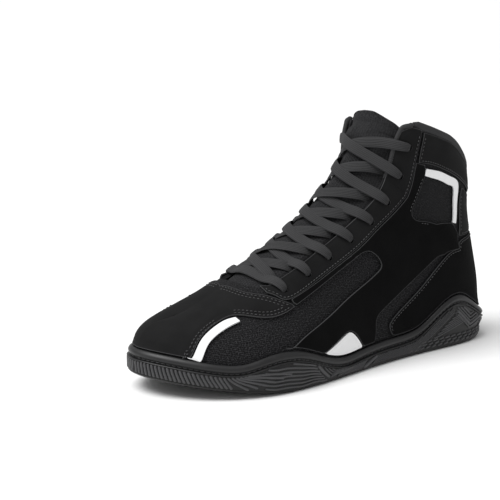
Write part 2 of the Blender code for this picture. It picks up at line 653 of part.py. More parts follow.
FORE_PAD = (0.655 * SOLE_LENGTH, 0.02 * BALL_WIDTH)
HEEL_PAD = (0.145 * SOLE_LENGTH, 0.0)
ARCH_PAD = (0.400 * SOLE_LENGTH, 0.06 * BALL_WIDTH)


def make_tread():
    """The main lugs: round pads at ball and heel, an oval in the arch and hexagons between."""
    points, faces = [], []
    shapes = [(*FORE_PAD, PAD_RADIUS, 16, 1.0), (*HEEL_PAD, PAD_RADIUS, 16, 1.0),
              (*ARCH_PAD, 1.5 * PAD_RADIUS, 20, 1.6)]
    rise = LUG_PITCH * math.sqrt(3) / 2
    for row in range(int(SOLE_LENGTH / rise)):
        for column in range(-5, 6):
            x = row * rise
            y = (column + 0.5 * (row % 2)) * LUG_PITCH
            in_region = x < 0.26 * SOLE_LENGTH or x > 0.56 * SOLE_LENGTH
            clear = all(math.hypot((x - s[0]) / s[4], y - s[1]) > s[2] + 1.3 * LUG_RADIUS for s in shapes[:3])
            if in_region and clear and inside_distance(x, y) > TREAD_BAND + 0.0045 + LUG_RADIUS:
                if abs(y) < BALL_WIDTH / 2 and inside_outline(x, y):
                    shapes.append((x, y, LUG_RADIUS, 6, 1.0))
    for x, y, radius, sides, stretch in shapes:
        corners, rings = prism(x, y, radius, sides, stretch)
        faces += [tuple(i + len(points) for i in ring) for ring in rings]
        points += corners
    return solid("tread_lugs", points, faces, RUBBER)


def inside_outline(x, y):
    """Whether a plan point lies inside the sole outline."""
    limits = [float(np.interp(x, *zip(*sorted(map(tuple, HALVES[side][0]))))) for side in (1, -1)]
    return min(limits) < y < max(limits)


def join_to(target, tool, operation):
    """Apply a Boolean with a tool object and remove the tool."""
    change = target.modifiers.new(operation.lower(), "BOOLEAN")
    change.operation = operation
    change.object = tool
    depsgraph = bpy.context.evaluated_depsgraph_get()
    result = bpy.data.meshes.new_from_object(target.evaluated_get(depsgraph))
    target.modifiers.clear()
    target.data = result
    bpy.data.objects.remove(tool)


def make_outsole():
    """The rubber sole: cup wall with a wavy bead, ribbed side and main lugs."""
    profiles = {side: [sole_profile(share, side) for share in SOLE_STATIONS] for side in (1, -1)}
    sole = ring_solid("outsole", profiles, RUBBER)
    join_to(sole, make_tread(), "UNION")
    return sole


def make_insole():
    """A flat insole inside the upper's lower edge."""
    inset = FEATHER_INSET + UPPER_WALL + INSOLE_MARGIN
    profiles = {}
    for side in (1, -1):
        profiles[side] = []
        for share in SOLE_STATIONS:
            plan, _ = outline_at(share, side, inset)
            base = FOOTBED_HEIGHT - SEAT_DEPTH + GAP + float(spring(plan[0]))
            profiles[side].append([(*plan, base), (*plan, base + INSOLE_THICKNESS)])
    return ring_solid("insole", profiles, FOAM)


def make_tongue():
    """The padded tongue under the eyestays, up past the collar."""
    edges = Spline(*zip(*TONGUE))
    s = np.linspace(TONGUE[0][0], TONGUE[-1][0], 21)[:, None]
    share = np.linspace(0, 1, 5)[None, :]
    t = 1 - edges(s) * (1 - share)
    s = s + 0 * t
    top = -(UPPER_WALL + TONGUE_DEPTH)
    return shell("tongue", [((s, t), side) for side in (1, -1)], top - TONGUE_THICKNESS, top, KNIT)


def make_binding():
    """The padded roll along the collar's top edge."""
    edge = throat_edge(COLLAR_ROW - 0.02)
    t = np.concatenate([np.linspace(edge - 0.02, 0, 14), np.linspace(0, edge - 0.02, 14)[1:]])
    sides = [1] * 14 + [-1] * 13
    centre = np.array([shell_point(COLLAR_ROW, a, side, -UPPER_WALL / 2) for a, side in zip(t, sides)])
    centre[:, 2] += BINDING_RADIUS + GAP
    ways = np.gradient(centre, axis=0)
    points = []
    around = 6
    for point, way in zip(centre, ways):
        way = Vector(way).normalized()
        across = way.cross(Vector((0, 0, 1))).normalized()
        up = across.cross(way)
        for k in range(around):
            angle = math.tau * (k + 0.5) / around
            turn = across * math.cos(angle) + up * math.sin(angle)
            points.append(tuple(Vector(point) + turn * BINDING_RADIUS))
    faces = [(i * around + k, i * around + (k + 1) % around, (i + 1) * around + (k + 1) % around,
              (i + 1) * around + k) for i in range(len(centre) - 1) for k in range(around)]
    last_ring = (len(centre) - 1) * around
    faces += [tuple(range(around)), tuple(range(last_ring, last_ring + around))]
    return solid("collar_binding", points, faces, SMOOTH_TRIM)


def cut_eyelets(targets):
    """Punch the eyelet holes through the eyestays and the upper."""
    points, faces = [], []
    sides = 6
    for s, t in EYELETS:
        for side in (1, -1):
            axis = Vector(surface_normal(s, t, side))
            across = axis.cross(Vector((0, 0, 1))).normalized()
            up = across.cross(axis)
            first = len(points)
            for offset in (-2.5 * UPPER_WALL, 2.5 * UPPER_WALL):
                centre = Vector(last(s, t, side)) + axis * offset
                for k in range(sides):
                    angle = math.tau * k / sides
                    turn = across * math.cos(angle) + up * math.sin(angle)
                    points.append(tuple(centre + turn * EYELET_RADIUS))
            faces.append(tuple(range(first, first + sides)))
            faces.append(tuple(range(first + 2 * sides - 1, first + sides - 1, -1)))
            faces += [(first + k, first + (k + 1) % sides, first + sides + (k + 1) % sides, first + sides + k)
                      for k in range(sides)]
    for target in targets:
        join_to(target, solid("eyelet_cutter", points, faces, SMOOTH_TRIM), "DIFFERENCE")


def band(name, path, offsets, width):
    """A flat lace along (s, w) points, where w runs over the ridge: t on one side, 2 - t on the other."""
    path = np.array(path)
    centre, normals = [], []
    for (s, w, side), offset in zip(path, offsets):
        t, way = (w, side) if w <= 1 else (2 - w, -side)
        centre.append(shell_point(s, t, way, offset))
        normals.append(surface_normal(s, t, way))
    centre, normals = np.array(centre), np.array(normals)
    ways = np.gradient(centre, axis=0)
    points = []
    for point, normal, way in zip(centre, normals, ways):
        across = np.cross(normal, way)
        across /= np.linalg.norm(across)
        up = np.cross(way, across)
        up /= np.linalg.norm(up)
        for a, b in ((-1, -1), (1, -1), (1, 1), (-1, 1)):
            points.append(point + across * a * width / 2 + up * b * LACE_THICKNESS / 2)
    count = len(centre)
    faces = [(i * 4 + k, i * 4 + (k + 1) % 4, (i + 1) * 4 + (k + 1) % 4, (i + 1) * 4 + k)
             for i in range(count - 1) for k in range(4)]
    faces += [(0, 1, 2, 3), tuple(range(count * 4 - 4, count * 4))]
    return solid(name, points, faces, LACE_CLOTH)


ON_EYESTAY = PANEL_GAP + EYESTAY_THICKNESS + LACE_GAP + LACE_THICKNESS / 2
ON_TONGUE = -(UPPER_WALL + TONGUE_DEPTH) + LACE_GAP + LACE_THICKNESS / 2
UNDER_MARGIN = 0.076
BAR_MARGIN = 0.16


def lace_run(name, start, end, side, start_high, end_high, lift):
    """One lace from an eyelet across the tongue towards the other side's next eyelet."""
    if not start_high:
        start = (start[0] + BAR_MARGIN, start[1])
    start_w = start[1] if start_high else float(throat_edge(start[0])) + UNDER_MARGIN
    end_w = 2 - (end[1] if end_high else float(throat_edge(end[0])) + UNDER_MARGIN)
    start_edge = float(throat_edge(start[0])) + 0.02
    end_edge = 2 - float(throat_edge(end[0])) - 0.02
    share = np.linspace(0, 1, 10)
    w = start_w + (end_w - start_w) * share
    s = start[0] + (end[0] - start[0]) * share
    places = [start_w, 1.0, end_w]
    offsets = [ON_EYESTAY if start_high else ON_TONGUE, ON_TONGUE + lift,
               ON_EYESTAY if end_high else ON_TONGUE]
    shoulder = ON_TONGUE + 0.6 * LACE_THICKNESS + lift
    if start_high:
        places[1:1] = [start_edge, start_edge + 0.11]
        offsets[1:1] = [ON_EYESTAY, shoulder]
    if end_high:
        places[-1:-1] = [end_edge - 0.11, end_edge]
        offsets[-1:-1] = [shoulder, ON_EYESTAY]
    heights = np.interp(w, places, offsets)
    path = [(a, b, side) for a, b in zip(s, w)]
    return band(name, path, heights, LACE_WIDTH)


def make_laces():
    """The bottom bar and the seven crossings, each crossing joined where its laces touch."""
    first = EYELETS[0]
    lace_run("lace_bottom_bar", first, first, 1, True, True, LACE_THICKNESS)
    for k, over_side in enumerate(OVER_SIDES):
        start, end = EYELETS[k], EYELETS[k + 1]
        last_pair = k == len(OVER_SIDES) - 1
        runs = [lace_run(f"lace_crossing_{k + 1}" + ("" if side == 1 else "_other"), start, end, side,
                         k > 0, last_pair,
                         TOP_LACE_LIFT * last_pair + (LACE_THICKNESS - LACE_SINK) * (side == over_side))
                for side in (1, -1)]
        join_to(runs[0], runs[1], "UNION")


def main():
    """Clear the scene and build every piece."""
    for item in list(bpy.data.objects):
        bpy.data.objects.remove(item)
    upper = make_upper()
    make_outsole()
    make_insole()
    make_tongue()
    make_binding()
    panel("toe_overlay", TOE_OVERLAY, (1, -1), PANEL_THICKNESS, NUBUCK, 1, 6)
    panel("heel_counter", COUNTER, (1, -1), PANEL_THICKNESS, NUBUCK, 2, 6, WRAP_GAP)
    panel("back_stay", BACK_STAY, (1, -1), PANEL_THICKNESS, NUBUCK, 2, 3)
    panel("collar_cuff", CUFF, (1, -1), PANEL_THICKNESS, NUBUCK, 2, 3)
    eyestays = []
    for label, side in (("lateral", 1), ("medial", -1)):
        eyestays.append(panel(f"eyestay_{label}", EYESTAY, (side,), EYESTAY_THICKNESS, NUBUCK, 2, 2))
        panel(f"quarter_panel_{label}", QUARTER, (side,), PANEL_THICKNESS, NUBUCK, 2, 4,
              WRAP_GAP)
        panel(f"toe_stripe_{label}", TOE_STRIPE, (side,), TRIM_THICKNESS, WHITE_TRIM, 2, 1)
        panel(f"sole_window_{label}", WINDOW, (side,), TRIM_THICKNESS, WHITE_TRIM, 1, 2)
        panel(f"ankle_stripe_{label}", ANKLE_STRIPE, (side,), TRIM_THICKNESS, WHITE_TRIM, 2, 1)
    cut_eyelets([upper] + eyestays)
    make_laces()


main()
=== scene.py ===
"""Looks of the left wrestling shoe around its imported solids. Metres, toe +X, outer side +Y, +Z up.

Every piece of the upper is drawn on one surface, the last, with places (s, t): row s runs from the
toe tip (0) to the collar (11), and t from the sole (0) to the middle ridge (1).
"""
import math

import bmesh
import bpy
import numpy as np
from mathutils import Matrix, Vector
from mathutils.geometry import delaunay_2d_cdt
from mathutils.kdtree import KDTree


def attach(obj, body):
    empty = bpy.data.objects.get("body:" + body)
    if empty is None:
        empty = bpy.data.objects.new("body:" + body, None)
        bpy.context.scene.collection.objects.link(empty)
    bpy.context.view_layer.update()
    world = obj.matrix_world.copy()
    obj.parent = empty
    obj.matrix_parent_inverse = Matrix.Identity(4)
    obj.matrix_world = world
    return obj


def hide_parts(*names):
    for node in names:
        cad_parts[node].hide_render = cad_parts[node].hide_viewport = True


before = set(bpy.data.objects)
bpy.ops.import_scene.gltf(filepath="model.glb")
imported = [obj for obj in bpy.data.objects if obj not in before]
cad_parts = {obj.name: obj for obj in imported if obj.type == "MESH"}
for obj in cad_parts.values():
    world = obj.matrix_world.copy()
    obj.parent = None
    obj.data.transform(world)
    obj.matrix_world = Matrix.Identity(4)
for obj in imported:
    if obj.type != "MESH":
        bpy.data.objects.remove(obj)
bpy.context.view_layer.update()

# Driving sizes, in metres
SOLE_LENGTH = 0.290
BALL_WIDTH = 0.101
INSTEP_HEIGHT = 0.108
LEG_HEIGHT = 0.060
COLLAR_BACK_HEIGHT = 0.137
FOOTBED_HEIGHT = 0.009
TOE_SPRING = 0.012
FEATHER_INSET = 0.0045

# Sole outline: share of the length from the heel, share of the ball width from the middle line
LATERAL_OUTLINE = (
    (0.000, 0.000), (0.022, 0.190), (0.100, 0.325), (0.240, 0.352), (0.410, 0.385), (0.570, 0.460),
    (0.700, 0.500), (0.800, 0.470), (0.895, 0.340), (0.970, 0.120), (1.000, -0.120))
MEDIAL_OUTLINE = (
    (0.000, 0.000), (0.022, -0.185), (0.095, -0.312), (0.200, -0.322), (0.330, -0.285), (0.460, -0.290),
    (0.590, -0.375), (0.720, -0.481), (0.815, -0.496), (0.905, -0.437), (0.975, -0.310), (1.000, -0.120))

# Back line of the heel above the footbed: share of the length, share of the collar's back height
BACK_LINE = ((0.017, 0.180), (0.021, 0.310), (0.033, 0.450), (0.043, 0.590), (0.045, 0.710),
             (0.040, 0.825), (0.036, 0.925), (0.041, 1.000))

# Rows of the upper, from the toe tip to the collar and on to the tongue's top.
# foot: share of the sole outline from toe to heel, and from 1 to 2 up the back line.
# ridge: where the row meets the middle line, along (length), across (width), height (instep and leg).
# rise, spread, lean and reach, forward, drop: the two handles of the row's curve.
ROWS = (
    # foot, along, across, instep, leg, rise, spread, lean, reach, forward, drop
    (0.000, 0.907, -0.12, 0.402, 0.000, 0.160, 0.00, 0.000, 0.00, 0.059, 0.000),
    (0.075, 0.876, -0.11, 0.425, 0.000, 0.175, 0.00, 0.003, 0.16, 0.048, 0.000),
    (0.170, 0.828, -0.10, 0.475, 0.000, 0.195, 0.01, 0.003, 0.28, 0.024, 0.000),
    (0.290, 0.762, -0.08, 0.575, 0.000, 0.230, 0.02, 0.000, 0.34, 0.007, -0.010),
    (0.420, 0.690, -0.06, 0.700, 0.000, 0.260, 0.01, 0.000, 0.38, 0.000, -0.020),
    (0.550, 0.610, -0.04, 0.845, 0.000, 0.295, 0.00, 0.000, 0.41, 0.000, -0.037),
    (0.690, 0.538, -0.02, 1.000, 0.000, 0.335, 0.01, 0.000, 0.44, -0.014, -0.055),
    (0.840, 0.479, -0.01, 1.000, 0.283, 0.370, 0.05, -0.014, 0.48, -0.028, -0.055),
    (1.000, 0.441, 0.00, 1.000, 0.533, 0.280, 0.30, -0.030, 0.50, -0.041, -0.055),
    (1.350, 0.414, 0.00, 1.000, 0.733, 0.110, 0.28, -0.007, 0.53, -0.028, -0.037),
    (1.700, 0.397, 0.00, 1.000, 0.883, 0.020, 0.29, 0.000, 0.55, -0.014, 0.000),
    (2.000, 0.386, 0.00, 1.000, 1.000, 0.000, 0.31, 0.000, 0.54, 0.000, 0.000),
    (2.100, 0.390, 0.00, 1.000, 1.180, 0.000, 0.31, 0.000, 0.54, 0.000, 0.000))
HEEL_ROW = 8
COLLAR_ROW = 11

# Level sections of heel and ankle: height, place of the widest point (length), outer and inner half
# width (ball width), and the power of the rounding
HEEL_SECTIONS = (
    (0.009, 0.205, 0.310, 0.270, 2.60), (0.035, 0.215, 0.322, 0.300, 2.45),
    (0.060, 0.235, 0.328, 0.322, 2.30), (0.085, 0.260, 0.312, 0.308, 2.20),
    (0.110, 0.275, 0.292, 0.292, 2.10), (0.135, 0.280, 0.302, 0.302, 2.05),
    (0.170, 0.280, 0.318, 0.318, 2.00))
HEEL_BLEND = (0.083, 0.122)
FRONT_BLEND = (0.66, 0.82)
SOLE_BLEND = (0.009, 0.034)


def unit(vectors, least=0.0):
    """Vectors scaled to length 1."""
    return vectors / (np.linalg.norm(vectors, axis=-1)[..., None] + least)


def run_lengths(line):
    """Length from a line's start to each of its points."""
    return np.concatenate([[0], np.cumsum(np.linalg.norm(np.diff(line, axis=0), axis=1))])


def curve_places(points):
    """Growing places for a smooth curve through points."""
    return np.concatenate([[0], np.cumsum(np.sqrt(np.linalg.norm(np.diff(points, axis=0), axis=1)))])


def read_line(where, places, values):
    """Values between the rows of a table, for the given places."""
    return np.stack([np.interp(where, places, column) for column in values.T], -1)


def between(grid, row, step):
    """Value of a grid at fractional rows and steps."""
    row = np.clip(row, 0, grid.shape[0] - 1.001)
    step = np.clip(step, 0, grid.shape[1] - 1.001)
    i, j = row.astype(int), step.astype(int)
    a, b = row - i, step - j
    if grid.ndim > 2:
        a, b = a[..., None], b[..., None]
    return ((1 - a) * (1 - b) * grid[i, j] + a * (1 - b) * grid[i + 1, j]
            + (1 - a) * b * grid[i, j + 1] + a * b * grid[i + 1, j + 1])


def point_tree(points):
    """A search tree of plan or space points, each under its own number."""
    tree = KDTree(len(points))
    for i, point in enumerate(points):
        tree.insert((*point, 0)[:3], i)
    tree.balance()
    return tree


def grid_rings(rows, columns, first=0):
    """Faces of a grid of points that are numbered row by row."""
    starts = (first + i * columns + j for i in range(rows - 1) for j in range(columns - 1))
    return [[k, k + 1, k + columns + 1, k + columns] for k in starts]


def swept_faces(first, rings, size):
    """Faces round a run of rings that are numbered one after the other, and its two ends."""
    faces = []
    for start in range(first, first + (rings - 1) * size, size):
        for k in range(size):
            a, b = start + k, start + (k + 1) % size
            faces.append((a, b, b + size, a + size))
    end = first + (rings - 1) * size
    return faces + [tuple(range(first + size - 1, first - 1, -1)), tuple(range(end, end + size))]


def round_ring(count):
    """Cosine and sine of evenly spaced angles."""
    angles = [math.tau * k / count for k in range(count)]
    return [(math.cos(angle), math.sin(angle)) for angle in angles]


class Spline:
    """Natural cubic through points at growing places."""

    def __init__(self, places, values):
        self.places = np.asarray(places, float)
        self.values = np.asarray(values, float)
        count = len(self.places)
        gaps = np.diff(self.places)
        matrix = np.eye(count)
        right = np.zeros_like(self.values)
        for i in range(1, count - 1):
            matrix[i, i - 1:i + 2] = gaps[i - 1], 2 * (gaps[i - 1] + gaps[i]), gaps[i]
            after = (self.values[i + 1] - self.values[i]) / gaps[i]
            before = (self.values[i] - self.values[i - 1]) / gaps[i - 1]
            right[i] = 6 * (after - before)
        self.bends = np.linalg.solve(matrix, right)

    def __call__(self, place):
        place = np.clip(np.asarray(place, float), self.places[0], self.places[-1])
        i = np.clip(np.searchsorted(self.places, place, "right") - 1, 0, len(self.places) - 2)
        gap = self.places[i + 1] - self.places[i]
        after = place - self.places[i]
        before = gap - after
        if self.values.ndim > 1:
            gap, after, before = gap[..., None], after[..., None], before[..., None]
        bend = (self.bends[i] * before ** 3 + self.bends[i + 1] * after ** 3) / (6 * gap)
        start = (self.values[i] / gap - self.bends[i] * gap / 6) * before
        end = (self.values[i + 1] / gap - self.bends[i + 1] * gap / 6) * after
        return bend + start + end


def outline_halves():
    """Each half of the sole outline from toe tip to heel tip, evenly spaced, with outward normals."""
    loop = list(LATERAL_OUTLINE) + list(MEDIAL_OUTLINE[1:-1][::-1])
    wrap = 4
    points = np.array(loop[-wrap:] + loop + loop[:wrap + 1]) * (SOLE_LENGTH, BALL_WIDTH)
    places = curve_places(points)
    curve = Spline(places, points)
    heel, toe, end = places[wrap], places[wrap + len(LATERAL_OUTLINE) - 1], places[wrap + len(loop)]
    halves = {}
    for side, finish in ((1, heel), (-1, end)):
        dense = curve(np.linspace(toe, finish, 2001))
        length = run_lengths(dense)
        line = read_line(np.linspace(0, length[-1], 481), length, dense)
        way = np.gradient(line, axis=0)
        outward = np.stack([-way[:, 1], way[:, 0]], 1) * -side
        outward[0], outward[-1] = (1, 0), (-1, 0)
        halves[side] = (line, unit(outward))
    return halves


HALVES = outline_halves()


def outline_at(share, side, inset=0.0):
    """Plan point of the sole outline, moved inwards by inset, and the outward normal there."""
    line, outward = HALVES[side]
    place = np.clip(np.asarray(share, float), 0, 1) * (len(line) - 1)
    index = np.arange(len(line))
    normal = unit(read_line(place, index, outward))
    return read_line(place, index, line) - normal * inset, normal


def spring(x):
    """Height of the sole's underside, which curves up towards the toe."""
    rocker = 0.72 * SOLE_LENGTH
    return TOE_SPRING * np.clip((x - rocker) / (SOLE_LENGTH - rocker), 0, None) ** 1.3


BACK = Spline(
    [1.0] + [1 + (height * COLLAR_BACK_HEIGHT - FOOTBED_HEIGHT) / (COLLAR_BACK_HEIGHT - FOOTBED_HEIGHT)
             for _, height in BACK_LINE],
    [(FEATHER_INSET, FOOTBED_HEIGHT)] + [(along * SOLE_LENGTH, height * COLLAR_BACK_HEIGHT)
                                         for along, height in BACK_LINE])


def foot_point(foot, side):
    """Where a row starts: on the feather line, or on the back line for a foot value over 1."""
    plan, _ = outline_at(foot, side, FEATHER_INSET)
    low = np.concatenate([plan, FOOTBED_HEIGHT + spring(plan[..., :1])], -1)
    back = BACK(np.clip(foot, 1, 2))
    high = np.stack([back[..., 0], 0 * back[..., 0], back[..., 1]], -1)
    return np.where((foot > 1)[..., None], high, low)


UNITS = np.array((1, SOLE_LENGTH, BALL_WIDTH, INSTEP_HEIGHT, LEG_HEIGHT, INSTEP_HEIGHT, BALL_WIDTH,
                  SOLE_LENGTH, BALL_WIDTH, SOLE_LENGTH, INSTEP_HEIGHT))
ROW_CURVES = Spline(range(len(ROWS)), np.array(ROWS) * UNITS)
HEEL_CURVES = Spline(*zip(*((row[0], row[1:]) for row in HEEL_SECTIONS)))
BACK_X, BACK_Z = BACK(np.linspace(1, 2, 101)).T


def smooth_step(value, start, end):
    """0 before start, 1 after end, with no corner between."""
    share = np.clip((value - start) / (end - start), 0, 1)
    return share * share * (3 - 2 * share)


def heel_form(point, t, side):
    """Draws a point of heel or ankle towards the rounded level section at its height."""
    x, y, z = np.moveaxis(point, -1, 0)
    widest, outer, inner, power = np.moveaxis(HEEL_CURVES(z), -1, 0)
    widest = widest * SOLE_LENGTH
    half = (outer if side > 0 else inner) * BALL_WIDTH
    depth = widest - np.interp(z, BACK_Z, BACK_X)
    behind = np.clip((widest - x) / depth, 0, None)
    aside = np.abs(y) / half
    reach = (behind ** power + aside ** power) ** (1 / power)
    stretch = 1 / np.maximum(reach, 0.2)
    round_x = np.where(behind > 0, widest - behind * depth * stretch, x)
    round_y = y * stretch
    share = (1 - smooth_step(x, *HEEL_BLEND)) * (1 - smooth_step(t, *FRONT_BLEND))
    share *= smooth_step(z, *SOLE_BLEND)
    return np.stack([x + (round_x - x) * share, y + (round_y - y) * share, z], -1)


def last(s, t, side):
    """Point of the upper's outer surface on row s, from the foot line (t 0) to the ridge (t 1)."""
    s, t = np.broadcast_arrays(np.asarray(s, float), np.asarray(t, float))
    foot, along, across, instep, leg, rise, spread, lean, reach, forward, drop = \
        np.moveaxis(ROW_CURVES(s), -1, 0)
    start = foot_point(foot, side)
    ridge = np.stack([along, across, instep + leg], -1)
    low = start + np.stack([lean, side * spread, rise], -1)
    high = ridge + np.stack([forward, side * reach, drop], -1)
    t = t[..., None]
    u = 1 - t
    point = start * u ** 3 + 3 * low * t * u ** 2 + 3 * high * t * t * u + ridge * t ** 3
    return heel_form(point, t[..., 0], side)


# Walls, clearances and sole sizes, in metres
UPPER_WALL = 0.0024
PANEL_GAP = 0.0007
WRAP_GAP = 0.0010
BEAD_CLEARANCE = 0.0022
SEAT_DEPTH = 0.0009
CUP_GAP = 0.0006
PANEL_THICKNESS = 0.0010
TRIM_THICKNESS = 0.0012
EYESTAY_THICKNESS = 0.0012
WAVE_HEIGHT = 0.0365
WALL_LEVELS = 5
BEAD_BULGE = 0.0032
GROOVE_DEPTH = 0.0015
SIDE_DROP = 0.0058
SIDE_FOOT = 0.0024
SIDE_FLARE = 0.0200
TREAD_DEPTH = 0.0012
TREAD_EDGE = 0.0026
TREAD_BAND = 0.0060
PAD_RADIUS = 0.0100
INSOLE_THICKNESS = 0.0030
INSOLE_MARGIN = 0.0010
GAP = 0.0003
TONGUE_THICKNESS = 0.0045
TONGUE_DEPTH = 0.0021
EYELET_RADIUS = 0.0021
LACE_WIDTH = 0.0075
LACE_THICKNESS = 0.0015
LACE_GAP = 0.0011
TOP_LACE_LIFT = 0.0006
BINDING_RADIUS = 0.0021

# Top edge of the sole: share of the outline from toe to heel, share of the wave height
WAVE = Spline(*zip(
    (0.00, 0.45), (0.09, 0.46), (0.18, 0.445), (0.22, 0.475), (0.27, 0.62), (0.32, 0.705), (0.37, 0.63),
    (0.42, 0.46), (0.47, 0.355), (0.53, 0.385), (0.60, 0.425), (0.66, 0.44), (0.70, 0.51), (0.74, 0.72),
    (0.785, 0.96), (0.82, 1.00), (0.87, 0.80), (0.93, 0.54), (1.00, 0.48)))

# Inner edge of the eyestays and the collar's front corners: row, t
THROAT_START = 3.20
THROAT_ROUND = 0.60
CORNER_ROUND = 0.40
CORNER_DROP = 0.06
THROAT = Spline(*zip(
    (3.80, 0.727), (4.76, 0.727), (5.40, 0.742), (6.08, 0.750), (6.56, 0.756), (7.04, 0.765), (7.55, 0.785),
    (8.10, 0.792), (8.80, 0.785), (9.70, 0.777), (10.40, 0.765), (11.00, 0.750), (12.00, 0.740)))

# Eyelets from the toe up: row, t
EYELETS = ((3.86, 0.640), (4.56, 0.648), (5.22, 0.664), (5.89, 0.681), (6.54, 0.694), (7.25, 0.722),
           (8.48, 0.740), (9.86, 0.712))
# Which side's lace lies on top in each crossing, from the toe up
OVER_SIDES = (1, -1, 1, 1, -1, 1, 1)

# Panels: rows of (row, t) on the lower edge and (row, t) on the upper edge. BEAD is the sole's top edge.
BEAD = -1.0
TOE_OVERLAY = (
    (0.00, BEAD, 0.00, 1.000), (0.35, BEAD, 0.35, 1.000), (0.75, BEAD, 0.75, 1.000),
    (1.15, BEAD, 1.15, 1.000), (1.42, BEAD, 1.45, 1.000), (1.55, 0.200, 1.75, 1.000),
    (1.68, 0.380, 2.05, 1.000), (1.92, 0.535, 2.35, 1.000), (2.25, 0.615, 2.62, 1.000),
    (2.55, 0.625, 2.86, 1.000), (2.85, 0.570, 2.98, 0.930), (3.15, 0.515, 3.10, 0.800),
    (3.42, 0.495, 3.38, 0.695), (3.65, 0.497, 3.62, 0.600), (3.80, 0.506, 3.79, 0.530))
TOE_STRIPE = (
    (1.46, BEAD, 1.66, BEAD), (1.58, 0.190, 1.75, 0.160), (1.71, 0.365, 1.86, 0.320),
    (1.95, 0.510, 2.08, 0.450), (2.27, 0.590, 2.36, 0.520), (2.55, 0.597, 2.60, 0.548))
EYESTAY = (
    (3.50, 0.690, 3.50, 0.768), (3.62, 0.630, 3.62, 0.740), (3.82, 0.568, 3.80, 0.727),
    (4.50, 0.580, 4.50, 0.726), (5.20, 0.603, 5.20, 0.737), (5.97, 0.631, 5.97, 0.749),
    (6.47, 0.655, 6.47, 0.755), (7.12, 0.678, 7.12, 0.767), (7.82, 0.695, 7.82, 0.789),
    (8.60, 0.690, 8.60, 0.787), (9.55, 0.668, 9.55, 0.778), (10.40, 0.656, 10.40, 0.764),
    (10.93, 0.650, 10.93, 0.710))
WINDOW = (
    (4.06, BEAD, 4.02, 0.120), (4.30, BEAD, 4.30, 0.158), (4.55, BEAD, 4.58, 0.196),
    (4.70, BEAD, 4.71, 0.190), (4.80, BEAD, 4.80, 0.140), (4.85, BEAD, 4.86, 0.085))
COUNTER = (
    (5.62, BEAD, 5.57, 0.090), (5.74, BEAD, 5.56, 0.150), (5.95, BEAD, 5.78, 0.208),
    (6.35, BEAD, 6.35, 0.296), (6.75, BEAD, 6.95, 0.372), (7.15, BEAD, 7.60, 0.412),
    (7.50, BEAD, 8.22, 0.416), (7.80, BEAD, 8.80, 0.330), (8.05, BEAD, 9.30, 0.180),
    (8.38, 0.000, 9.55, 0.000))
BACK_STAY = (
    (8.55, 0.400, 10.03, 0.285), (8.82, 0.338, 10.05, 0.240), (9.20, 0.240, 10.06, 0.180),
    (9.52, 0.140, 10.07, 0.100), (9.67, 0.000, 10.07, 0.000))
CUFF = (
    (9.58, 0.645, 10.86, 0.630), (9.88, 0.563, 10.90, 0.560), (10.06, 0.470, 10.92, 0.460),
    (10.16, 0.360, 10.92, 0.350), (10.19, 0.250, 10.92, 0.240), (10.20, 0.120, 10.92, 0.115),
    (10.20, 0.000, 10.92, 0.000))
ANKLE_STRIPE = (
    (9.32, 0.605, 9.62, 0.592), (9.68, 0.490, 9.92, 0.494), (9.80, 0.416, 10.04, 0.408),
    (9.83, 0.372, 10.04, 0.330), (9.42, 0.386, 9.52, 0.350), (9.02, 0.412, 9.12, 0.382),
    (8.74, 0.434, 8.84, 0.406))

# Tongue: row, half width in t below the ridge
TONGUE = (
    (2.95, 0.240), (3.45, 0.330), (4.00, 0.360), (5.00, 0.350), (6.00, 0.340), (7.00, 0.325),
    (8.00, 0.305), (9.00, 0.310), (10.00, 0.310), (10.70, 0.300), (11.10, 0.280),
    (11.30, 0.235), (11.42, 0.130))


def reference_surface():
    """A fine grid on the last and its averaged outward normals, for offsets along the surface."""
    rows = np.linspace(0, len(ROWS) - 1, 121)
    steps = np.linspace(0, 1, 41)
    normals = {}
    for side in (1, -1):
        grid = last(rows[:, None], steps[None, :], side)
        across = grid[1:, 1:] - grid[:-1, :-1]
        counter = grid[:-1, 1:] - grid[1:, :-1]
        cell = np.cross(across, counter) * side
        total = np.zeros_like(grid)
        for i in (0, 1):
            for j in (0, 1):
                total[i:len(rows) - 1 + i, j:len(steps) - 1 + j] += cell
        normals[side] = total
    heel = rows >= HEEL_ROW
    for place in ((slice(0, 1), slice(None)), (slice(None), slice(-1, None)), (heel, slice(0, 1))):
        both = normals[1][place] + normals[-1][place]
        normals[1][place] = both
        normals[-1][place] = both
    return rows, steps, {side: unit(normals[side]) for side in (1, -1)}


REFERENCE_ROWS, REFERENCE_STEPS, REFERENCE_NORMALS = reference_surface()


def surface_normal(s, t, side):
    """Outward normal of the last, read between the reference grid's points."""
    s, t = np.broadcast_arrays(np.asarray(s, float), np.asarray(t, float))
    return unit(between(REFERENCE_NORMALS[side], s / REFERENCE_ROWS[1], t / REFERENCE_STEPS[1]))


def throat_edge(s):
    """The t of the upper's free edge on row s: 1 before the throat, then its round start and sides."""
    start = np.clip((THROAT_START + THROAT_ROUND - s) / THROAT_ROUND, 0, 1)
    sides = THROAT(np.maximum(s, THROAT_START + THROAT_ROUND))
    corner = np.clip((s - COLLAR_ROW + CORNER_ROUND) / CORNER_ROUND, 0, 1)
    round_start = 1 - (1 - sides) * np.sqrt(1 - start ** 2)
    return round_start - CORNER_DROP * (1 - np.sqrt(1 - corner ** 2))


def wave_height(share, x):
    """Height of the sole's top edge."""
    return WAVE_HEIGHT * WAVE(share) + spring(x)


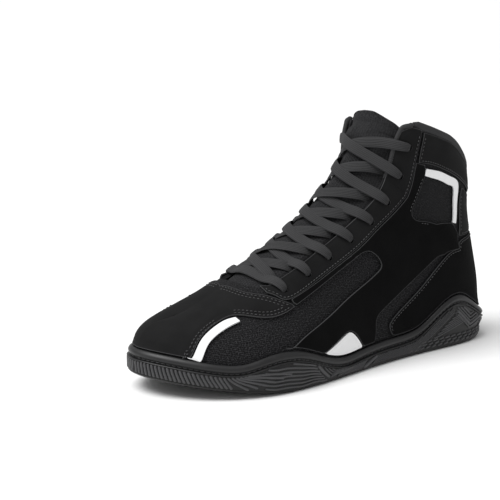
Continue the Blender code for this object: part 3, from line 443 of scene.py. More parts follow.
def bead_t(s, side):
    """The t at which row s leaves the sole's top edge, a little above it."""
    steps = np.linspace(0, 0.5, 101)
    outline = HALVES[side][0]
    line = last(s, steps, side)
    apart = np.linalg.norm(line[:, None, :2] - outline[None], axis=2)
    share = apart.argmin(axis=1) / (len(outline) - 1)
    clear = line[:, 2] - wave_height(share, line[:, 0]) - BEAD_CLEARANCE
    i = min(int(np.nonzero(clear <= 0)[0].max(initial=0)), len(steps) - 2)
    part = clear[i] / (clear[i] - clear[i + 1]) if clear[i] < 0 < clear[i + 1] else 0.0
    return float(steps[i] + part * steps[1])


CENTRE = np.array((SOLE_LENGTH / 2, 0, 0))
EYESTAY_TOP = PANEL_GAP + EYESTAY_THICKNESS
TONGUE_TOP = -(UPPER_WALL + TONGUE_DEPTH)


class Look:
    """One procedural material, built node by node."""

    def __init__(self, name, roughness, **settings):
        self.material = bpy.data.materials.new(name)
        self.material.use_nodes = True
        self.tree = self.material.node_tree
        self.shader = self.tree.nodes["Principled BSDF"]
        self.shader.inputs["Roughness"].default_value = roughness
        for key, value in settings.items():
            self.shader.inputs[key.replace("_", " ")].default_value = value

    def node(self, kind, inputs=(), **settings):
        """A new node with its inputs linked or set."""
        made = self.tree.nodes.new("ShaderNode" + kind)
        for key, value in settings.items():
            setattr(made, key, value)
        for key, value in dict(inputs).items():
            if isinstance(value, bpy.types.NodeSocket):
                self.tree.links.new(value, made.inputs[key])
            else:
                made.inputs[key].default_value = value
        return made

    def set(self, key, value):
        """Link an output to the surface shader."""
        self.tree.links.new(value, self.shader.inputs[key])

    def place(self):
        """Position on the object in metres."""
        return self.node("TexCoord").outputs["Object"]

    def flat(self):
        """Position on the unrolled surface in metres."""
        return self.node("UVMap", uv_map="flat").outputs["UV"]

    def rim(self):
        """Distance from the piece's cut edge in metres."""
        return self.node("Attribute", attribute_name="rim").outputs["Fac"]

    def noise(self, where, size, detail, roughness=0.55):
        """Cloudy values whose patches are about as large as the size."""
        made = self.node("TexNoise", {"Vector": where, "Scale": 1 / size, "Detail": detail,
                                      "Roughness": roughness})
        return made.outputs["Fac"]

    def cells(self, where, size, randomness):
        """Distance from the nearest of many scattered points on the unrolled surface."""
        inputs = {"Vector": where, "Scale": 1 / size, "Randomness": randomness}
        return self.node("TexVoronoi", inputs, voronoi_dimensions="2D").outputs["Distance"]

    def turn(self, where, degrees, stretch=(1, 1, 1)):
        """Places turned in the plane and stretched."""
        made = self.node("Mapping", {"Vector": where, "Rotation": (0, 0, math.radians(degrees)),
                                     "Scale": stretch})
        return made.outputs["Vector"]

    def waves(self, where, pitch, direction="X"):
        """0 to 1 and back once in each pitch, along one way."""
        made = self.node("TexWave", {"Vector": where, "Scale": math.pi / 10 / pitch}, wave_type="BANDS",
                         bands_direction=direction, wave_profile="SIN")
        return made.outputs["Fac"]

    def math(self, operation, a, b):
        return self.node("Math", {0: a, 1: b}, operation=operation).outputs[0]

    def ranged(self, value, low, high, to_low=0.0, to_high=1.0):
        """A value taken from one range to another, and kept inside it."""
        made = self.node("MapRange", {"Value": value, "From Min": low, "From Max": high,
                                      "To Min": to_low, "To Max": to_high})
        return made.outputs["Result"]

    def mixed(self, share, a, b):
        """Colour between a and b by a share. Each is a colour output or three numbers."""
        made = self.node("Mix", data_type="RGBA")
        self.tree.links.new(share, made.inputs[0])
        for socket, value in ((made.inputs[6], a), (made.inputs[7], b)):
            if isinstance(value, bpy.types.NodeSocket):
                self.tree.links.new(value, socket)
            else:
                socket.default_value = (*value, 1)
        return made.outputs[2]

    def weighed(self, a, a_share, b, b_share):
        """Sum of two values, each times its share."""
        return self.math("ADD", self.math("MULTIPLY", a, a_share), self.math("MULTIPLY", b, b_share))

    def toward_edge(self, color, start, end, share, edge_color):
        """A colour that turns to another by a share towards the piece's cut edge."""
        edge = self.ranged(self.rim(), start, end, 1.0, 0.0)
        return self.mixed(self.math("MULTIPLY", edge, share), color, edge_color)

    def bump(self, height, distance, strength, under=None):
        """Normals of a low relief, on top of another relief where one is given."""
        inputs = {"Height": height, "Distance": distance, "Strength": strength}
        if under is not None:
            inputs["Normal"] = under
        return self.node("Bump", inputs).outputs["Normal"]


def nubuck_look(name, dark, light, shine):
    """Matte napped leather: short nap, soft clouds, and paler cut edges that are partly a painted highlight.
    """
    look = Look(name, 0.82, Specular_IOR_Level=shine)
    place = look.place()
    nap = look.noise(place, 0.00035, 4.0, 0.7)
    cloud = look.noise(place, 0.018, 3.0)
    tone = look.math("ADD", look.ranged(cloud, 0.3, 0.7, 0.0, 0.55), look.ranged(nap, 0.3, 0.7, 0.0, 0.45))
    color = look.mixed(tone, (dark, dark, 1.03 * dark), (light, light, 1.03 * light))
    # Paler cut edges: partly the edge's own paler tone, partly a painted highlight along every cut edge
    look.set("Base Color", look.toward_edge(color, 0.00010, 0.00045, 0.75, (0.070, 0.070, 0.072)))
    look.set("Roughness", look.ranged(nap, 0.3, 0.7, 0.74, 0.92))
    look.set("Normal", look.bump(nap, 0.00008, 0.55, look.bump(cloud, 0.0006, 0.25)))
    return look.material


def mesh_look():
    """Speckled mesh cloth: small round holes in slanting rows, with yarn between. The holes are painted near
    black, a painted shade, and the yarn's lighter speckle is a painted glint.
    """
    look = Look("mesh cloth", 0.88, Specular_IOR_Level=0.14)
    flat = look.turn(look.flat(), 28, (1.0, 0.8, 1.0))
    hole = look.cells(flat, 0.00098, 0.42)
    yarn = look.noise(look.flat(), 0.0012, 2.0, 0.6)
    open_share = look.ranged(hole, 0.20, 0.52, 0.0, 1.0)
    # Painted glint: lighter speckle on the yarn
    yarn_glint = look.ranged(yarn, 0.38, 0.62, 0.0, 1.0)
    thread = look.mixed(yarn_glint, (0.008, 0.008, 0.0085), (0.031, 0.031, 0.0325))
    # Painted shade: the holes are near black
    look.set("Base Color", look.mixed(open_share, (0.0015, 0.0015, 0.002), thread))
    look.set("Normal", look.bump(open_share, 0.00022, 0.9, look.bump(yarn, 0.0001, 0.4)))
    return look.material


def rubber_look(name, dark, light):
    """Satin moulded rubber with patchy, dusty roughness."""
    look = Look(name, 0.46, Specular_IOR_Level=0.32)
    place = look.place()
    grain = look.noise(place, 0.0004, 3.0)
    cloud = look.noise(place, 0.010, 4.0)
    look.set("Base Color", look.mixed(cloud, (dark, dark, 1.04 * dark), (light, light, 1.04 * light)))
    dust = look.math("ADD", look.math("MULTIPLY", grain, 0.4), cloud)
    look.set("Roughness", look.ranged(dust, 0.4, 1.0, 0.34, 0.50))
    look.set("Normal", look.bump(grain, 0.00005, 0.4))
    return look.material


def white_look():
    """White film on cloth, with a faint weave under it."""
    look = Look("white trim", 0.42, Specular_IOR_Level=0.45)
    weave = look.cells(look.flat(), 0.0008, 0.2)
    cloud = look.noise(look.place(), 0.012, 3.0)
    color = look.mixed(cloud, (0.74, 0.74, 0.745), (0.84, 0.84, 0.845))
    # The film turns darker towards its cut edge
    look.set("Base Color", look.toward_edge(color, 0.00005, 0.00030, 0.4, (0.45, 0.45, 0.46)))
    look.set("Roughness", look.ranged(cloud, 0.3, 0.7, 0.34, 0.50))
    look.set("Normal", look.bump(weave, 0.00005, 0.35))
    return look.material


def knit_look():
    """Heathered tongue knit with rows of small raised triangles."""
    look = Look("tongue knit", 0.92, Specular_IOR_Level=0.15)
    flat = look.flat()
    total = None
    for degrees in (90, 210, 330):
        wave = look.waves(look.turn(flat, degrees), 0.0021)
        total = wave if total is None else look.math("ADD", total, wave)
    triangle = look.ranged(total, 1.15, 1.75, 1.0, 0.0)
    fibre = look.noise(look.turn(flat, 12, (1.0, 3.5, 1.0)), 0.0006, 4.0, 0.75)
    heather = look.noise(look.place(), 0.0011, 4.0, 0.8)
    tone = look.ranged(look.weighed(fibre, 0.5, heather, 0.7), 0.42, 0.82)
    color = look.mixed(tone, (0.005, 0.005, 0.0055), (0.040, 0.040, 0.042))
    look.set("Base Color", look.mixed(look.math("MULTIPLY", triangle, 0.45), color, (0.006, 0.006, 0.0065)))
    look.set("Normal", look.bump(triangle, 0.00030, 0.6, look.bump(fibre, 0.00012, 0.6)))
    return look.material


def lace_look():
    """Flat braid: lengthwise cords crossed by fine slanting yarns, with painted light and shade in bands
    along the cords.
    """
    look = Look("lace cloth", 0.80, Specular_IOR_Level=0.2)
    flat = look.flat()
    yarns = [look.waves(look.turn(flat, degrees), 0.00062) for degrees in (35, -35)]
    braid = look.math("MULTIPLY", *yarns)
    fibre = look.noise(look.turn(flat, 0, (1.0, 4.0, 1.0)), 0.0004, 3.0, 0.7)
    cords = look.waves(flat, 0.0013, "Y")
    tone = look.math("ADD", look.math("MULTIPLY", braid, 0.35), look.ranged(fibre, 0.3, 0.7, 0.0, 0.35))
    # Painted light and shade: lighter and darker bands along the lengthwise cords
    tone = look.math("ADD", tone, look.math("MULTIPLY", cords, 0.30))
    look.set("Base Color", look.mixed(tone, (0.007, 0.007, 0.0075), (0.066, 0.066, 0.068)))
    look.set("Normal", look.bump(braid, 0.00012, 0.7, look.bump(fibre, 0.00006, 0.5)))
    return look.material


def lining_look():
    """Soft lining knit inside the shoe."""
    look = Look("lining", 0.95, Specular_IOR_Level=0.15)
    loops = look.cells(look.flat(), 0.0010, 0.35)
    fibre = look.noise(look.place(), 0.0007, 3.0, 0.7)
    tone = look.weighed(loops, 0.6, fibre, 0.6)
    look.set("Base Color", look.mixed(tone, (0.007, 0.007, 0.0075), (0.034, 0.034, 0.036)))
    look.set("Normal", look.bump(loops, 0.00018, 0.8, look.bump(fibre, 0.0001, 0.5)))
    return look.material


def trim_look():
    """Tightly woven edge tape with fine cross ribs."""
    look = Look("edge tape", 0.72, Specular_IOR_Level=0.2)
    ribs = look.waves(look.flat(), 0.00085)
    fibre = look.noise(look.place(), 0.0005, 3.0, 0.7)
    tone = look.weighed(ribs, 0.5, fibre, 0.5)
    look.set("Base Color", look.mixed(tone, (0.011, 0.011, 0.0115), (0.042, 0.042, 0.0435)))
    look.set("Normal", look.bump(ribs, 0.00012, 0.6, look.bump(fibre, 0.00008, 0.5)))
    return look.material


def thread_look():
    """Twisted sewing thread."""
    look = Look("thread", 0.55, Specular_IOR_Level=0.3)
    twist = look.noise(look.place(), 0.0003, 2.0)
    look.set("Base Color", look.mixed(twist, (0.024, 0.024, 0.025), (0.088, 0.088, 0.090)))
    look.set("Normal", look.bump(twist, 0.00008, 0.6))
    return look.material


def floor_look():
    """Plain pale floor with the least unevenness."""
    look = Look("floor", 0.7, Specular_IOR_Level=0.2)
    cloud = look.noise(look.place(), 0.4, 2.0)
    look.set("Base Color", look.mixed(cloud, (0.86, 0.86, 0.86), (0.88, 0.88, 0.88)))
    return look.material


LOOKS = {
    "nubuck": nubuck_look("nubuck", 0.0040, 0.0100, 0.12),
    # Painted shade: a darker, less shiny copy of the nubuck for the counter and side panels, which face away
    # from the light
    "shaded nubuck": nubuck_look("shaded nubuck", 0.0014, 0.0042, 0.06),
    "mesh": mesh_look(),
    "rubber": rubber_look("sole rubber", 0.008, 0.017),
    # Painted light: a much lighter copy of the sole rubber for the raised ribs, lit on their tops
    "lit rib rubber": rubber_look("lit rib rubber", 0.036, 0.060),
    # Painted shade: a darker copy of the sole rubber for the groove, the side between the ribs and the
    # underside
    "shaded rubber": rubber_look("shaded rubber", 0.004, 0.007),
    "white": white_look(),
    "knit": knit_look(),
    "lace": lace_look(),
    "lining": lining_look(),
    "trim": trim_look(),
    "thread": thread_look()}

# Step across the rows along which the unrolled length is measured, of the table's 61
MEASURED_STEP = 27


def unrolled_table():
    """Lengths along and across the rows on a fine grid, for unrolling the surface."""
    rows = np.linspace(0, len(ROWS) - 1, 121)
    steps = np.linspace(0, 1, 61)
    tables = {}
    for side in (1, -1):
        grid = last(rows[:, None], steps[None, :], side)
        across = np.linalg.norm(np.diff(grid, axis=1), axis=2)
        up = np.concatenate([np.zeros((len(rows), 1)), np.cumsum(across, axis=1)], axis=1)
        tables[side] = (run_lengths(grid[:, MEASURED_STEP]), (up - up[:, -1:]) * side)
    return rows, steps, tables


UNROLLED = unrolled_table()


def unroll(s, t, side):
    """Flat coordinates in metres of places on the last."""
    rows, steps, tables = UNROLLED
    along, across = tables[side]
    row = np.clip(s / rows[1], 0, len(rows) - 1.001)
    i = row.astype(int)
    part = row - i
    u = along[i] * (1 - part) + along[i + 1] * part
    return np.stack([u, between(across, s / rows[1], t / steps[1])], -1)


def placed(name, data):
    """A new object in the scene."""
    made = bpy.data.objects.new(name, data)
    bpy.context.scene.collection.objects.link(made)
    return made


def make_piece(name, points, faces, looks, stands_for=(), flat=None, rim=None, face_looks=None,
               sharp=42, body="root"):
    """One object from points that start at the heel, riding on its body, with its finish."""
    data = bpy.data.meshes.new(name)
    points = np.asarray(points) - CENTRE
    data.from_pydata([tuple(p) for p in points], [], [tuple(int(i) for i in f) for f in faces])
    for look in looks:
        data.materials.append(LOOKS[look])
    if face_looks is not None:
        data.polygons.foreach_set("material_index", np.asarray(face_looks, dtype=np.int32))
    if flat is not None:
        layer = data.uv_layers.new(name="flat")
        layer.data.foreach_set("uv", np.asarray(flat, dtype=np.float32).ravel())
    if rim is not None:
        data.attributes.new("rim", "FLOAT", "POINT").data.foreach_set("value", np.asarray(rim, np.float32))
    data.shade_smooth()
    data.set_sharp_from_angle(angle=math.radians(sharp))
    made = placed(name, data)
    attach(made, body)
    if stands_for:
        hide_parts(*stands_for)
    return made


def apply_modifiers(made):
    """Put the evaluated mesh in place of the object's own and drop its modifiers."""
    depsgraph = bpy.context.evaluated_depsgraph_get()
    result = bpy.data.meshes.new_from_object(made.evaluated_get(depsgraph))
    made.modifiers.clear()
    made.data = result


ROUNDING_SEGMENTS = 2
ROUNDING_ANGLE = 50


def rounded(made, width):
    """Round the piece's sharp edges."""
    change = made.modifiers.new("rounding", "BEVEL")
    change.width = width
    change.segments = ROUNDING_SEGMENTS
    change.limit_method = "ANGLE"
    change.angle_limit = math.radians(ROUNDING_ANGLE)
    change.use_clamp_overlap = True
    apply_modifiers(made)


COLLAR_DIP = 0.50
DIP_ROWS = (9.9, 11.0)
DIP_STEPS = (0.08, 0.44)


def dipped(places):
    """Places moved down the rows near the collar, which is lower at the heel than at the sides."""
    s, t, side = places.T
    dip = COLLAR_DIP * (1 - smooth_step(t, *DIP_STEPS)) * smooth_step(s, *DIP_ROWS)
    return np.stack([s - dip, t, side], -1)


# Points of a sheet closer than this are one
SAME_POINT = 2e-5
RIM_SAMPLES = 7


class Sheet:
    """Places (s, t, side) on the last, joined into faces that are seen from outside."""

    def __init__(self, places, rings, unrolled):
        base = last_at(dipped(places))
        tree = point_tree(base)
        first = np.array([min(found[1] for found in tree.find_range(point, SAME_POINT)) for point in base])
        kept, index = np.unique(first, return_inverse=True)
        index = index.ravel()
        self.places, self.base = places[kept], base[kept]
        self.normal = normal_at(self.places)
        self.faces, self.flats = [], []
        for ring in rings:
            corners = {}
            for k in ring:
                corners.setdefault(int(index[k]), k)
            if len(corners) > 2:
                face, flat = list(corners), [unrolled[k] for k in corners.values()]
                s, t, side = places[list(corners.values())].T
                if (s * np.roll(t, -1) - np.roll(s, -1) * t).sum() * side[0] < 0:
                    face, flat = face[::-1], flat[::-1]
                self.faces.append(face)
                self.flats.append(flat)
        self.find_rim()

    def find_rim(self):
        """The rim's edges, its loops for the rows of stitches, and every point's distance from it."""
        edges = set()
        for ring in self.faces:
            edges.update(zip(ring, ring[1:] + ring[:1]))
        self.rim = [(a, b) for a, b in sorted(edges) if (b, a) not in edges]
        follow = dict(self.rim)
        self.loops = []
        while follow:
            start, here = follow.popitem()
            loop = [start]
            while here != start and here in follow:
                loop.append(here)
                here = follow.pop(here)
            self.loops.append(loop)
        shares = np.linspace(0, 1, RIM_SAMPLES)[:, None]
        samples = np.concatenate([self.base[a] * (1 - shares) + self.base[b] * shares for a, b in self.rim])
        self.tree = point_tree(samples)
        self.edge = np.array([self.tree.find(p)[2] for p in self.base])


def on_sides(function, places):
    """Evaluate a function of (s, t, side) at places of both sides."""
    result = np.zeros((len(places), 3))
    for side in (1, -1):
        mine = places[:, 2] == side
        if mine.any():
            result[mine] = function(places[mine, 0], places[mine, 1], side)
    return result


def last_at(places):
    """Points of the last at places of both sides."""
    return on_sides(last, places)


def normal_at(places):
    """Outward normals at places of both sides."""
    return on_sides(surface_normal, places)


def grid_sheet(grids):
    """A sheet from grids of (s, t) and their side."""
    places, unrolled, rings = [], [], []
    first = 0
    for (s, t), side in grids:
        rows, columns = s.shape
        places.append(np.stack([s, t, side + 0 * s], -1).reshape(-1, 3))
        unrolled.append(unroll(s, t, side).reshape(-1, 2))
        rings += grid_rings(rows, columns, first)
        first += rows * columns
    return Sheet(np.concatenate(places), rings, np.concatenate(unrolled))


# Metres for a row and for the whole of t, roughly, to measure gaps between places
MAP_SCALE = np.array((0.030, 0.105))
PANEL_PITCH = 0.0013
EYESTAY_PITCH = 0.0011
TRIM_PITCH = 0.0008


def outline_places(runs, side, pitch):
    """Evenly spaced places round a closed outline of smooth runs. A run of three is a stretch of bead."""
    line = []
    for run in runs:
        if run[0] == BEAD:
            s = np.linspace(run[1], run[2], 40)
            dense = np.stack([s, [bead_t(a, side) for a in s]], -1)
        else:
            points = np.array([(a, bead_t(a, side) if b == BEAD else b) for a, b in run])
            curve = Spline(curve_places(points * MAP_SCALE), points)
            dense = curve(np.linspace(0, curve.places[-1], 30 * len(points)))
        along = run_lengths(last(dense[:, 0], dense[:, 1], side))
        even = np.linspace(0, along[-1], max(2, math.ceil(along[-1] / pitch)) + 1)[:-1]
        line.append(read_line(even, along, dense))
    return np.concatenate(line)


def outline_sheet(runs, sides, pitch):
    """A sheet inside a closed outline, for each of the sides."""
    places, rings = [], []
    for side in sides:
        border = outline_places(runs, side, pitch) * MAP_SCALE
        low, high = border.min(axis=0), border.max(axis=0)
        x, y = np.meshgrid(np.arange(low[0], high[0], pitch), np.arange(low[1], high[1], pitch * 0.87),
                           indexing="ij")
        x = x + (np.arange(x.shape[1]) % 2)[None, :] * pitch / 2
        inner = np.stack([x.ravel(), y.ravel()], -1)
        inside = np.zeros(len(inner), bool)
        for a, b in zip(border, np.roll(border, -1, axis=0)):
            cross = (a[1] > inner[:, 1]) != (b[1] > inner[:, 1])
            rise = b[1] - a[1] if b[1] != a[1] else 1.0
            inside ^= cross & (inner[:, 0] < a[0] + (inner[:, 1] - a[1]) * (b[0] - a[0]) / rise)
        tree = point_tree(border)
        clear = np.array([tree.find((*q, 0))[2] > 0.62 * pitch for q in inner])
        points = np.concatenate([border, inner[inside & clear]])
        count = len(border)
        edges = [(i, (i + 1) % count) for i in range(count)]
        made = delaunay_2d_cdt([Vector(q) for q in points], edges, [], 1, 1e-9)
        flat = np.array([tuple(v) for v in made[0]]) / MAP_SCALE
        first = sum(len(part) for part in places)
        rings += [[first + i for i in face] for face in made[2]]
        places.append(np.stack([flat[:, 0], np.clip(flat[:, 1], 0, 1), side + 0 * flat[:, 0]], -1))
    places = np.concatenate(places)
    unrolled = np.zeros((len(places), 2))
    for side in sides:
        mine = places[:, 2] == side
        unrolled[mine] = unroll(places[mine, 0], places[mine, 1], side)
    return Sheet(places, rings, unrolled)


# Soft folds of the whole upper: row and t of a fold's two ends, its half width and its height, in metres
FOLDS = (
    ((7.55, 0.40), (7.95, 0.66), 0.0060, -0.0009), ((8.05, 0.36), (8.45, 0.62), 0.0065, 0.0008),
    ((6.90, 0.46), (7.25, 0.64), 0.0050, -0.0005), ((3.15, 0.50), (2.75, 0.80), 0.0055, -0.0005),
    ((3.70, 0.34), (3.45, 0.47), 0.0060, -0.0004), ((2.55, 0.70), (2.30, 0.95), 0.0060, -0.0004),
    ((9.90, 0.10), (9.50, 0.40), 0.0080, -0.0005))
# The collar leans in behind: rows, steps and depth of the lean
SHOULDER_ROWS = (10.25, 11.0)
SHOULDER_STEPS = (0.30, 0.60)
SHOULDER_SINK = 0.0016


def fold_lift(places, base):
    """Outward shift of every layer of the upper at its soft folds."""
    lift = np.zeros(len(places))
    for start, end, width, height in FOLDS:
        share = np.linspace(0, 1, 15)
        for side in (1, -1):
            mine = places[:, 2] == side
            if not mine.any():
                continue
            s, t = (low + (high - low) * share for low, high in zip(start, end))
            line = last(s, t, side)
            apart = np.linalg.norm(base[mine][:, None] - line[None], axis=2)
            near = apart.min(axis=1)
            along = share[apart.argmin(axis=1)]
            lift[mine] += height * np.exp(-(near / width) ** 2) * np.sin(math.pi * (0.12 + 0.76 * along))
    s, t, side = places.T
    shoulder = smooth_step(s, *SHOULDER_ROWS) ** 1.5 * (1 - smooth_step(t, *SHOULDER_STEPS))
    return lift - SHOULDER_SINK * shoulder


def relief_none(places, edge):
    """No relief."""
    return 0 * edge


def shell(name, sheet, inner, outer, look, stands_for=(), relief=relief_none, bevel=0.0003,
          inner_relief=relief_none):
    """A closed sheet between two offsets from the last, each with its relief."""
    fold = fold_lift(sheet.places, sheet.base)
    count = len(sheet.base)
    top = sheet.base + sheet.normal * (outer + fold + relief(sheet.places, sheet.edge))[:, None]
    bottom = sheet.base + sheet.normal * (inner + fold + inner_relief(sheet.places, sheet.edge))[:, None]
    flat = [uv for ring in sheet.flats for uv in ring]
    flat += [uv for ring in sheet.flats for uv in reversed(ring)]
    under = [[i + count for i in reversed(ring)] for ring in sheet.faces]
    sides = [(b, a, a + count, b + count) for a, b in sheet.rim]
    flat = np.concatenate([np.array(flat), np.zeros((4 * len(sides), 2))])
    made = make_piece(name, np.concatenate([top, bottom]), sheet.faces + under + sides, [look],
                      stands_for, flat, np.concatenate([sheet.edge, sheet.edge]))
    if bevel:
        rounded(made, bevel)
    return made


def panel_curve(table, side):
    """Smooth curve of a panel's lower and upper edges through its table."""
    rows = []
    for row in table:
        ends = [(s, bead_t(s, side) if t == BEAD else t) for s, t in (row[:2], row[2:])]
        rows.append((*ends[0], *ends[1]))
    return Spline(range(len(rows)), rows)


def panel_counts(table, pitch):
    """Steps in each row of the table and across, the same for both sides."""
    length = width = 0.0
    for side in (1, -1):
        coarse = panel_curve(table, side)(np.linspace(0, len(table) - 1, 8 * len(table)))
        low = last(coarse[:, 0], np.clip(coarse[:, 1], 0, 1), side)
        high = last(coarse[:, 2], np.clip(coarse[:, 3], 0, 1), side)
        sums = [np.linalg.norm(np.diff(line, axis=0), axis=1).sum() for line in (low, high)]
        length = max([length] + sums)
        width = max(width, np.linalg.norm(high - low, axis=1).max())
    return max(2, math.ceil(length / pitch / (len(table) - 1))), max(4, math.ceil(width / pitch))


def panel_grid(table, side, pitch):
    """Dense grid between a panel's lower and upper edges."""
    per_row, across = panel_counts(table, pitch)
    places = np.linspace(0, len(table) - 1, (len(table) - 1) * per_row + 1)
    edges = panel_curve(table, side)(places)
    for edge, place in zip(edges, places):
        near = table[int(place)], table[math.ceil(place)]
        if near[0][1] == BEAD and near[1][1] == BEAD:
            edge[1] = bead_t(edge[0], side)
        for k in (1, 3):
            if near[0][k] == near[1][k] and near[0][k] in (0, 1):
                edge[k] = near[0][k]
    share = np.linspace(0, 1, across + 1)[None, :]
    s = edges[:, 0:1] * (1 - share) + edges[:, 2:3] * share
    t = edges[:, 1:2] * (1 - share) + edges[:, 3:4] * share
    return (s, np.clip(t, 0, 1)), side


# Stitches: distance of a row from the rim, sink of the panel, and a stitch's pitch, length and radius
STITCH_ROW = 0.0016
DOUBLE_ROW = (0.0016, 0.0038)
BESIDE_FLASH = (-0.0022, -0.0042)
STITCH_SINK = 0.00022
STITCH_SINK_WIDTH = 0.0008
PANEL_SWELL = 0.00012
STITCH_PITCH = 0.0026
STITCH_LENGTH = 0.0017
STITCH_RADIUS = 0.00030
STITCH_SIDES = 6
# A stitch along its length: place, size and rise of each ring
STITCH_SHAPE = ((-1.0, 0.35, -1.2), (-0.72, 0.85, -0.1), (0.0, 1.0, 0.35), (0.72, 0.85, -0.1),
                (1.0, 0.35, -1.2))


def sewn(rows=(STITCH_ROW,)):
    """Relief of a panel that its stitch rows pull down a little."""
    def relief(places, edge):
        lift = 0 * edge
        for row in rows:
            lift = lift - STITCH_SINK * np.exp(-((edge - row) / STITCH_SINK_WIDTH) ** 2)
        return lift + PANEL_SWELL * smooth_step(edge, 0.001, 0.008)
    return relief


def stitch_line(sheet, loop, distance, wanted):
    """Points, ways and normals of one row of stitches inside a rim loop, as separate stretches."""
    places, base, normal = sheet.places[loop], sheet.base[loop], sheet.normal[loop]
    way = unit(np.roll(base, -2, axis=0) - np.roll(base, 2, axis=0), 1e-12)
    point = base + np.cross(normal, way) * distance
    clear = np.array([sheet.tree.find(q)[2] for q in point]) > 0.93 * abs(distance)
    good = clear & np.array([wanted(s, t, side) for s, t, side in places])
    if not good.any():
        return []
    order = np.roll(np.arange(len(loop)), -int(np.argmin(good)))
    breaks = np.nonzero(np.diff(good[order].astype(int)))[0] + 1
    stretches = [run for run in np.split(order, breaks) if good[run[0]]]
    point = point + normal * fold_lift(places, base)[:, None]
    return [(point[run], normal[run]) for run in stretches if len(run) > 3]


def stitches(name, rows, height, pitch=STITCH_PITCH, length=STITCH_LENGTH,
             radius=STITCH_RADIUS):
    """Small bent threads along lines of (points, normals), at a height over them."""
    points, faces = [], []
    for line, normals in rows:
        along = run_lengths(line)
        count = int(along[-1] / pitch)
        rest = (along[-1] - count * pitch) / 2
        for k in range(count):
            at = rest + (k + 0.5) * pitch + np.array((-0.5, 0, 0.5)) * length
            ends = read_line(at, along, line)
            up = unit(read_line(at[1], along, normals))
            way = unit(ends[2] - ends[0])
            across = np.cross(up, way)
            faces += swept_faces(len(points), len(STITCH_SHAPE), STITCH_SIDES)
            for place, size, rise in STITCH_SHAPE:
                middle = ends[1] + way * place * length / 2 + up * (height + rise * radius)
                points += [middle + (across * a + up * b) * radius * size
                           for a, b in round_ring(STITCH_SIDES)]
    return make_piece(name, points, faces, ["thread"], sharp=80)


def sew(name, sheet, height, distances, wanted):
    """Rows of stitches along the wanted parts of a sheet's rim."""
    rows = []
    for distance in distances:
        for loop in sheet.loops:
            rows += stitch_line(sheet, loop, distance, wanted)
    if rows:
        stitches(name, rows, height)


# Stretches of the upper's rows: start, end and points
UPPER_ROWS = ((0.0, 3.2, 70), (3.2, 3.8, 22), (3.8, 10.6, 150), (10.6, 11.0, 14))
UPPER_STEPS = 37
PAD_DEPTH = 0.0030


def make_upper():
    """Outer cloth and padded lining of the hollow upper."""
    stretches = [np.linspace(start, end, count)[:-1] for start, end, count in UPPER_ROWS]
    s = np.concatenate(stretches + [[COLLAR_ROW]])[:, None]
    share = np.linspace(0, 1, UPPER_STEPS)[None, :]
    t = throat_edge(s) * share
    s = s + 0 * t
    sheet = grid_sheet([((s, t), side) for side in (1, -1)])
    cloth = shell("upper_cloth", sheet, -0.5 * UPPER_WALL, 0.0, "mesh", ("upper",))

    def pad(places, edge):
        s, t = places[:, 0], places[:, 1]
        high = smooth_step(s, 8.9, 9.8) * (1 - smooth_step(s, 10.7, 11.0))
        return -PAD_DEPTH * high * (1 - smooth_step(t, 0.42, 0.58))

    lining_top = -0.5 * UPPER_WALL - 0.00005
    lining = shell("upper_lining", sheet, -UPPER_WALL, lining_top, "lining", inner_relief=pad)
    return cloth, lining


INSOLE_ROWS = 90
INSOLE_STEPS = 25
INSOLE_ROUND = 0.0006


def make_insole():
    """The footbed cloth over the foam, a little higher at its edge."""
    inset = FEATHER_INSET + UPPER_WALL + INSOLE_MARGIN
    across = np.linspace(0, 1, INSOLE_STEPS)
    left, right = (outline_at(np.linspace(0, 1, INSOLE_ROWS), side, inset)[0] for side in (1, -1))
    plan = left[:, None] * (1 - across[:, None]) + right[:, None] * across[:, None]
    edge = np.minimum(across, 1 - across)[None, :] + 0 * plan[..., 0]
    base = FOOTBED_HEIGHT - SEAT_DEPTH + GAP + spring(plan[..., 0])
    cup = INSOLE_ROUND * smooth_step(0.18 - edge, 0, 0.18)
    top = np.concatenate([plan, (base + INSOLE_THICKNESS - INSOLE_ROUND + cup)[..., None]], -1)
    bottom = np.concatenate([plan, base[..., None]], -1)
    count = INSOLE_ROWS * INSOLE_STEPS
    faces = [[a, d, c, b] for a, b, c, d in grid_rings(INSOLE_ROWS, INSOLE_STEPS)]
    faces += [[i + count for i in reversed(f)] for f in faces]
    numbers = np.arange(count).reshape(INSOLE_ROWS, INSOLE_STEPS)
    border = [int(i) for run in (numbers[:, 0], numbers[-1, 1:], numbers[-2::-1, -1], numbers[0, -2:0:-1])
              for i in run]
    faces += [[a, b, b + count, a + count] for a, b in zip(border, border[1:] + border[:1])]
    points = np.concatenate([top.reshape(-1, 3), bottom.reshape(-1, 3)])
    flat = np.array([points[i, :2] for ring in faces for i in ring])
    made = make_piece("insole_cloth", points, faces, ["lining"], ("insole",), flat)
    weld(made)
    rounded(made, INSOLE_ROUND)


def weld(made, distance=1e-5):
    """Join points that lie on each other and turn all faces outwards."""
    mesh = bmesh.new()
    mesh.from_mesh(made.data)
    bmesh.ops.remove_doubles(mesh, verts=mesh.verts, dist=distance)
    bmesh.ops.dissolve_degenerate(mesh, dist=1e-7, edges=mesh.edges)
    bmesh.ops.recalc_face_normals(mesh, faces=mesh.faces)
    mesh.to_mesh(made.data)
    mesh.free()


# Pressed seams across the tongue: row and slant
TONGUE_SEAMS = ((4.35, 0.10), (5.75, -0.12), (7.15, 0.10), (8.6, -0.10))
TONGUE_ROWS = 230
TONGUE_STEPS = 29
TONGUE_ROUND = 0.0013
# How far each flank of the tongue bulges beside the laces, by side
TONGUE_BULGE = {1: 0.0018, -1: 0.0035}
# Relief of the tongue: its fullness in the middle and at the top, thin rim, seams across and along the rim
TONGUE_FULL = 0.0012
TONGUE_THIN = 0.0009
TONGUE_TIP_FULL = 0.0013
SEAM_SINK = 0.0006
SEAM_WIDTH = 0.0011
EDGE_SEAM = 0.0052
EDGE_SEAM_SINK = 0.0005
EDGE_SEAM_WIDTH = 0.0010


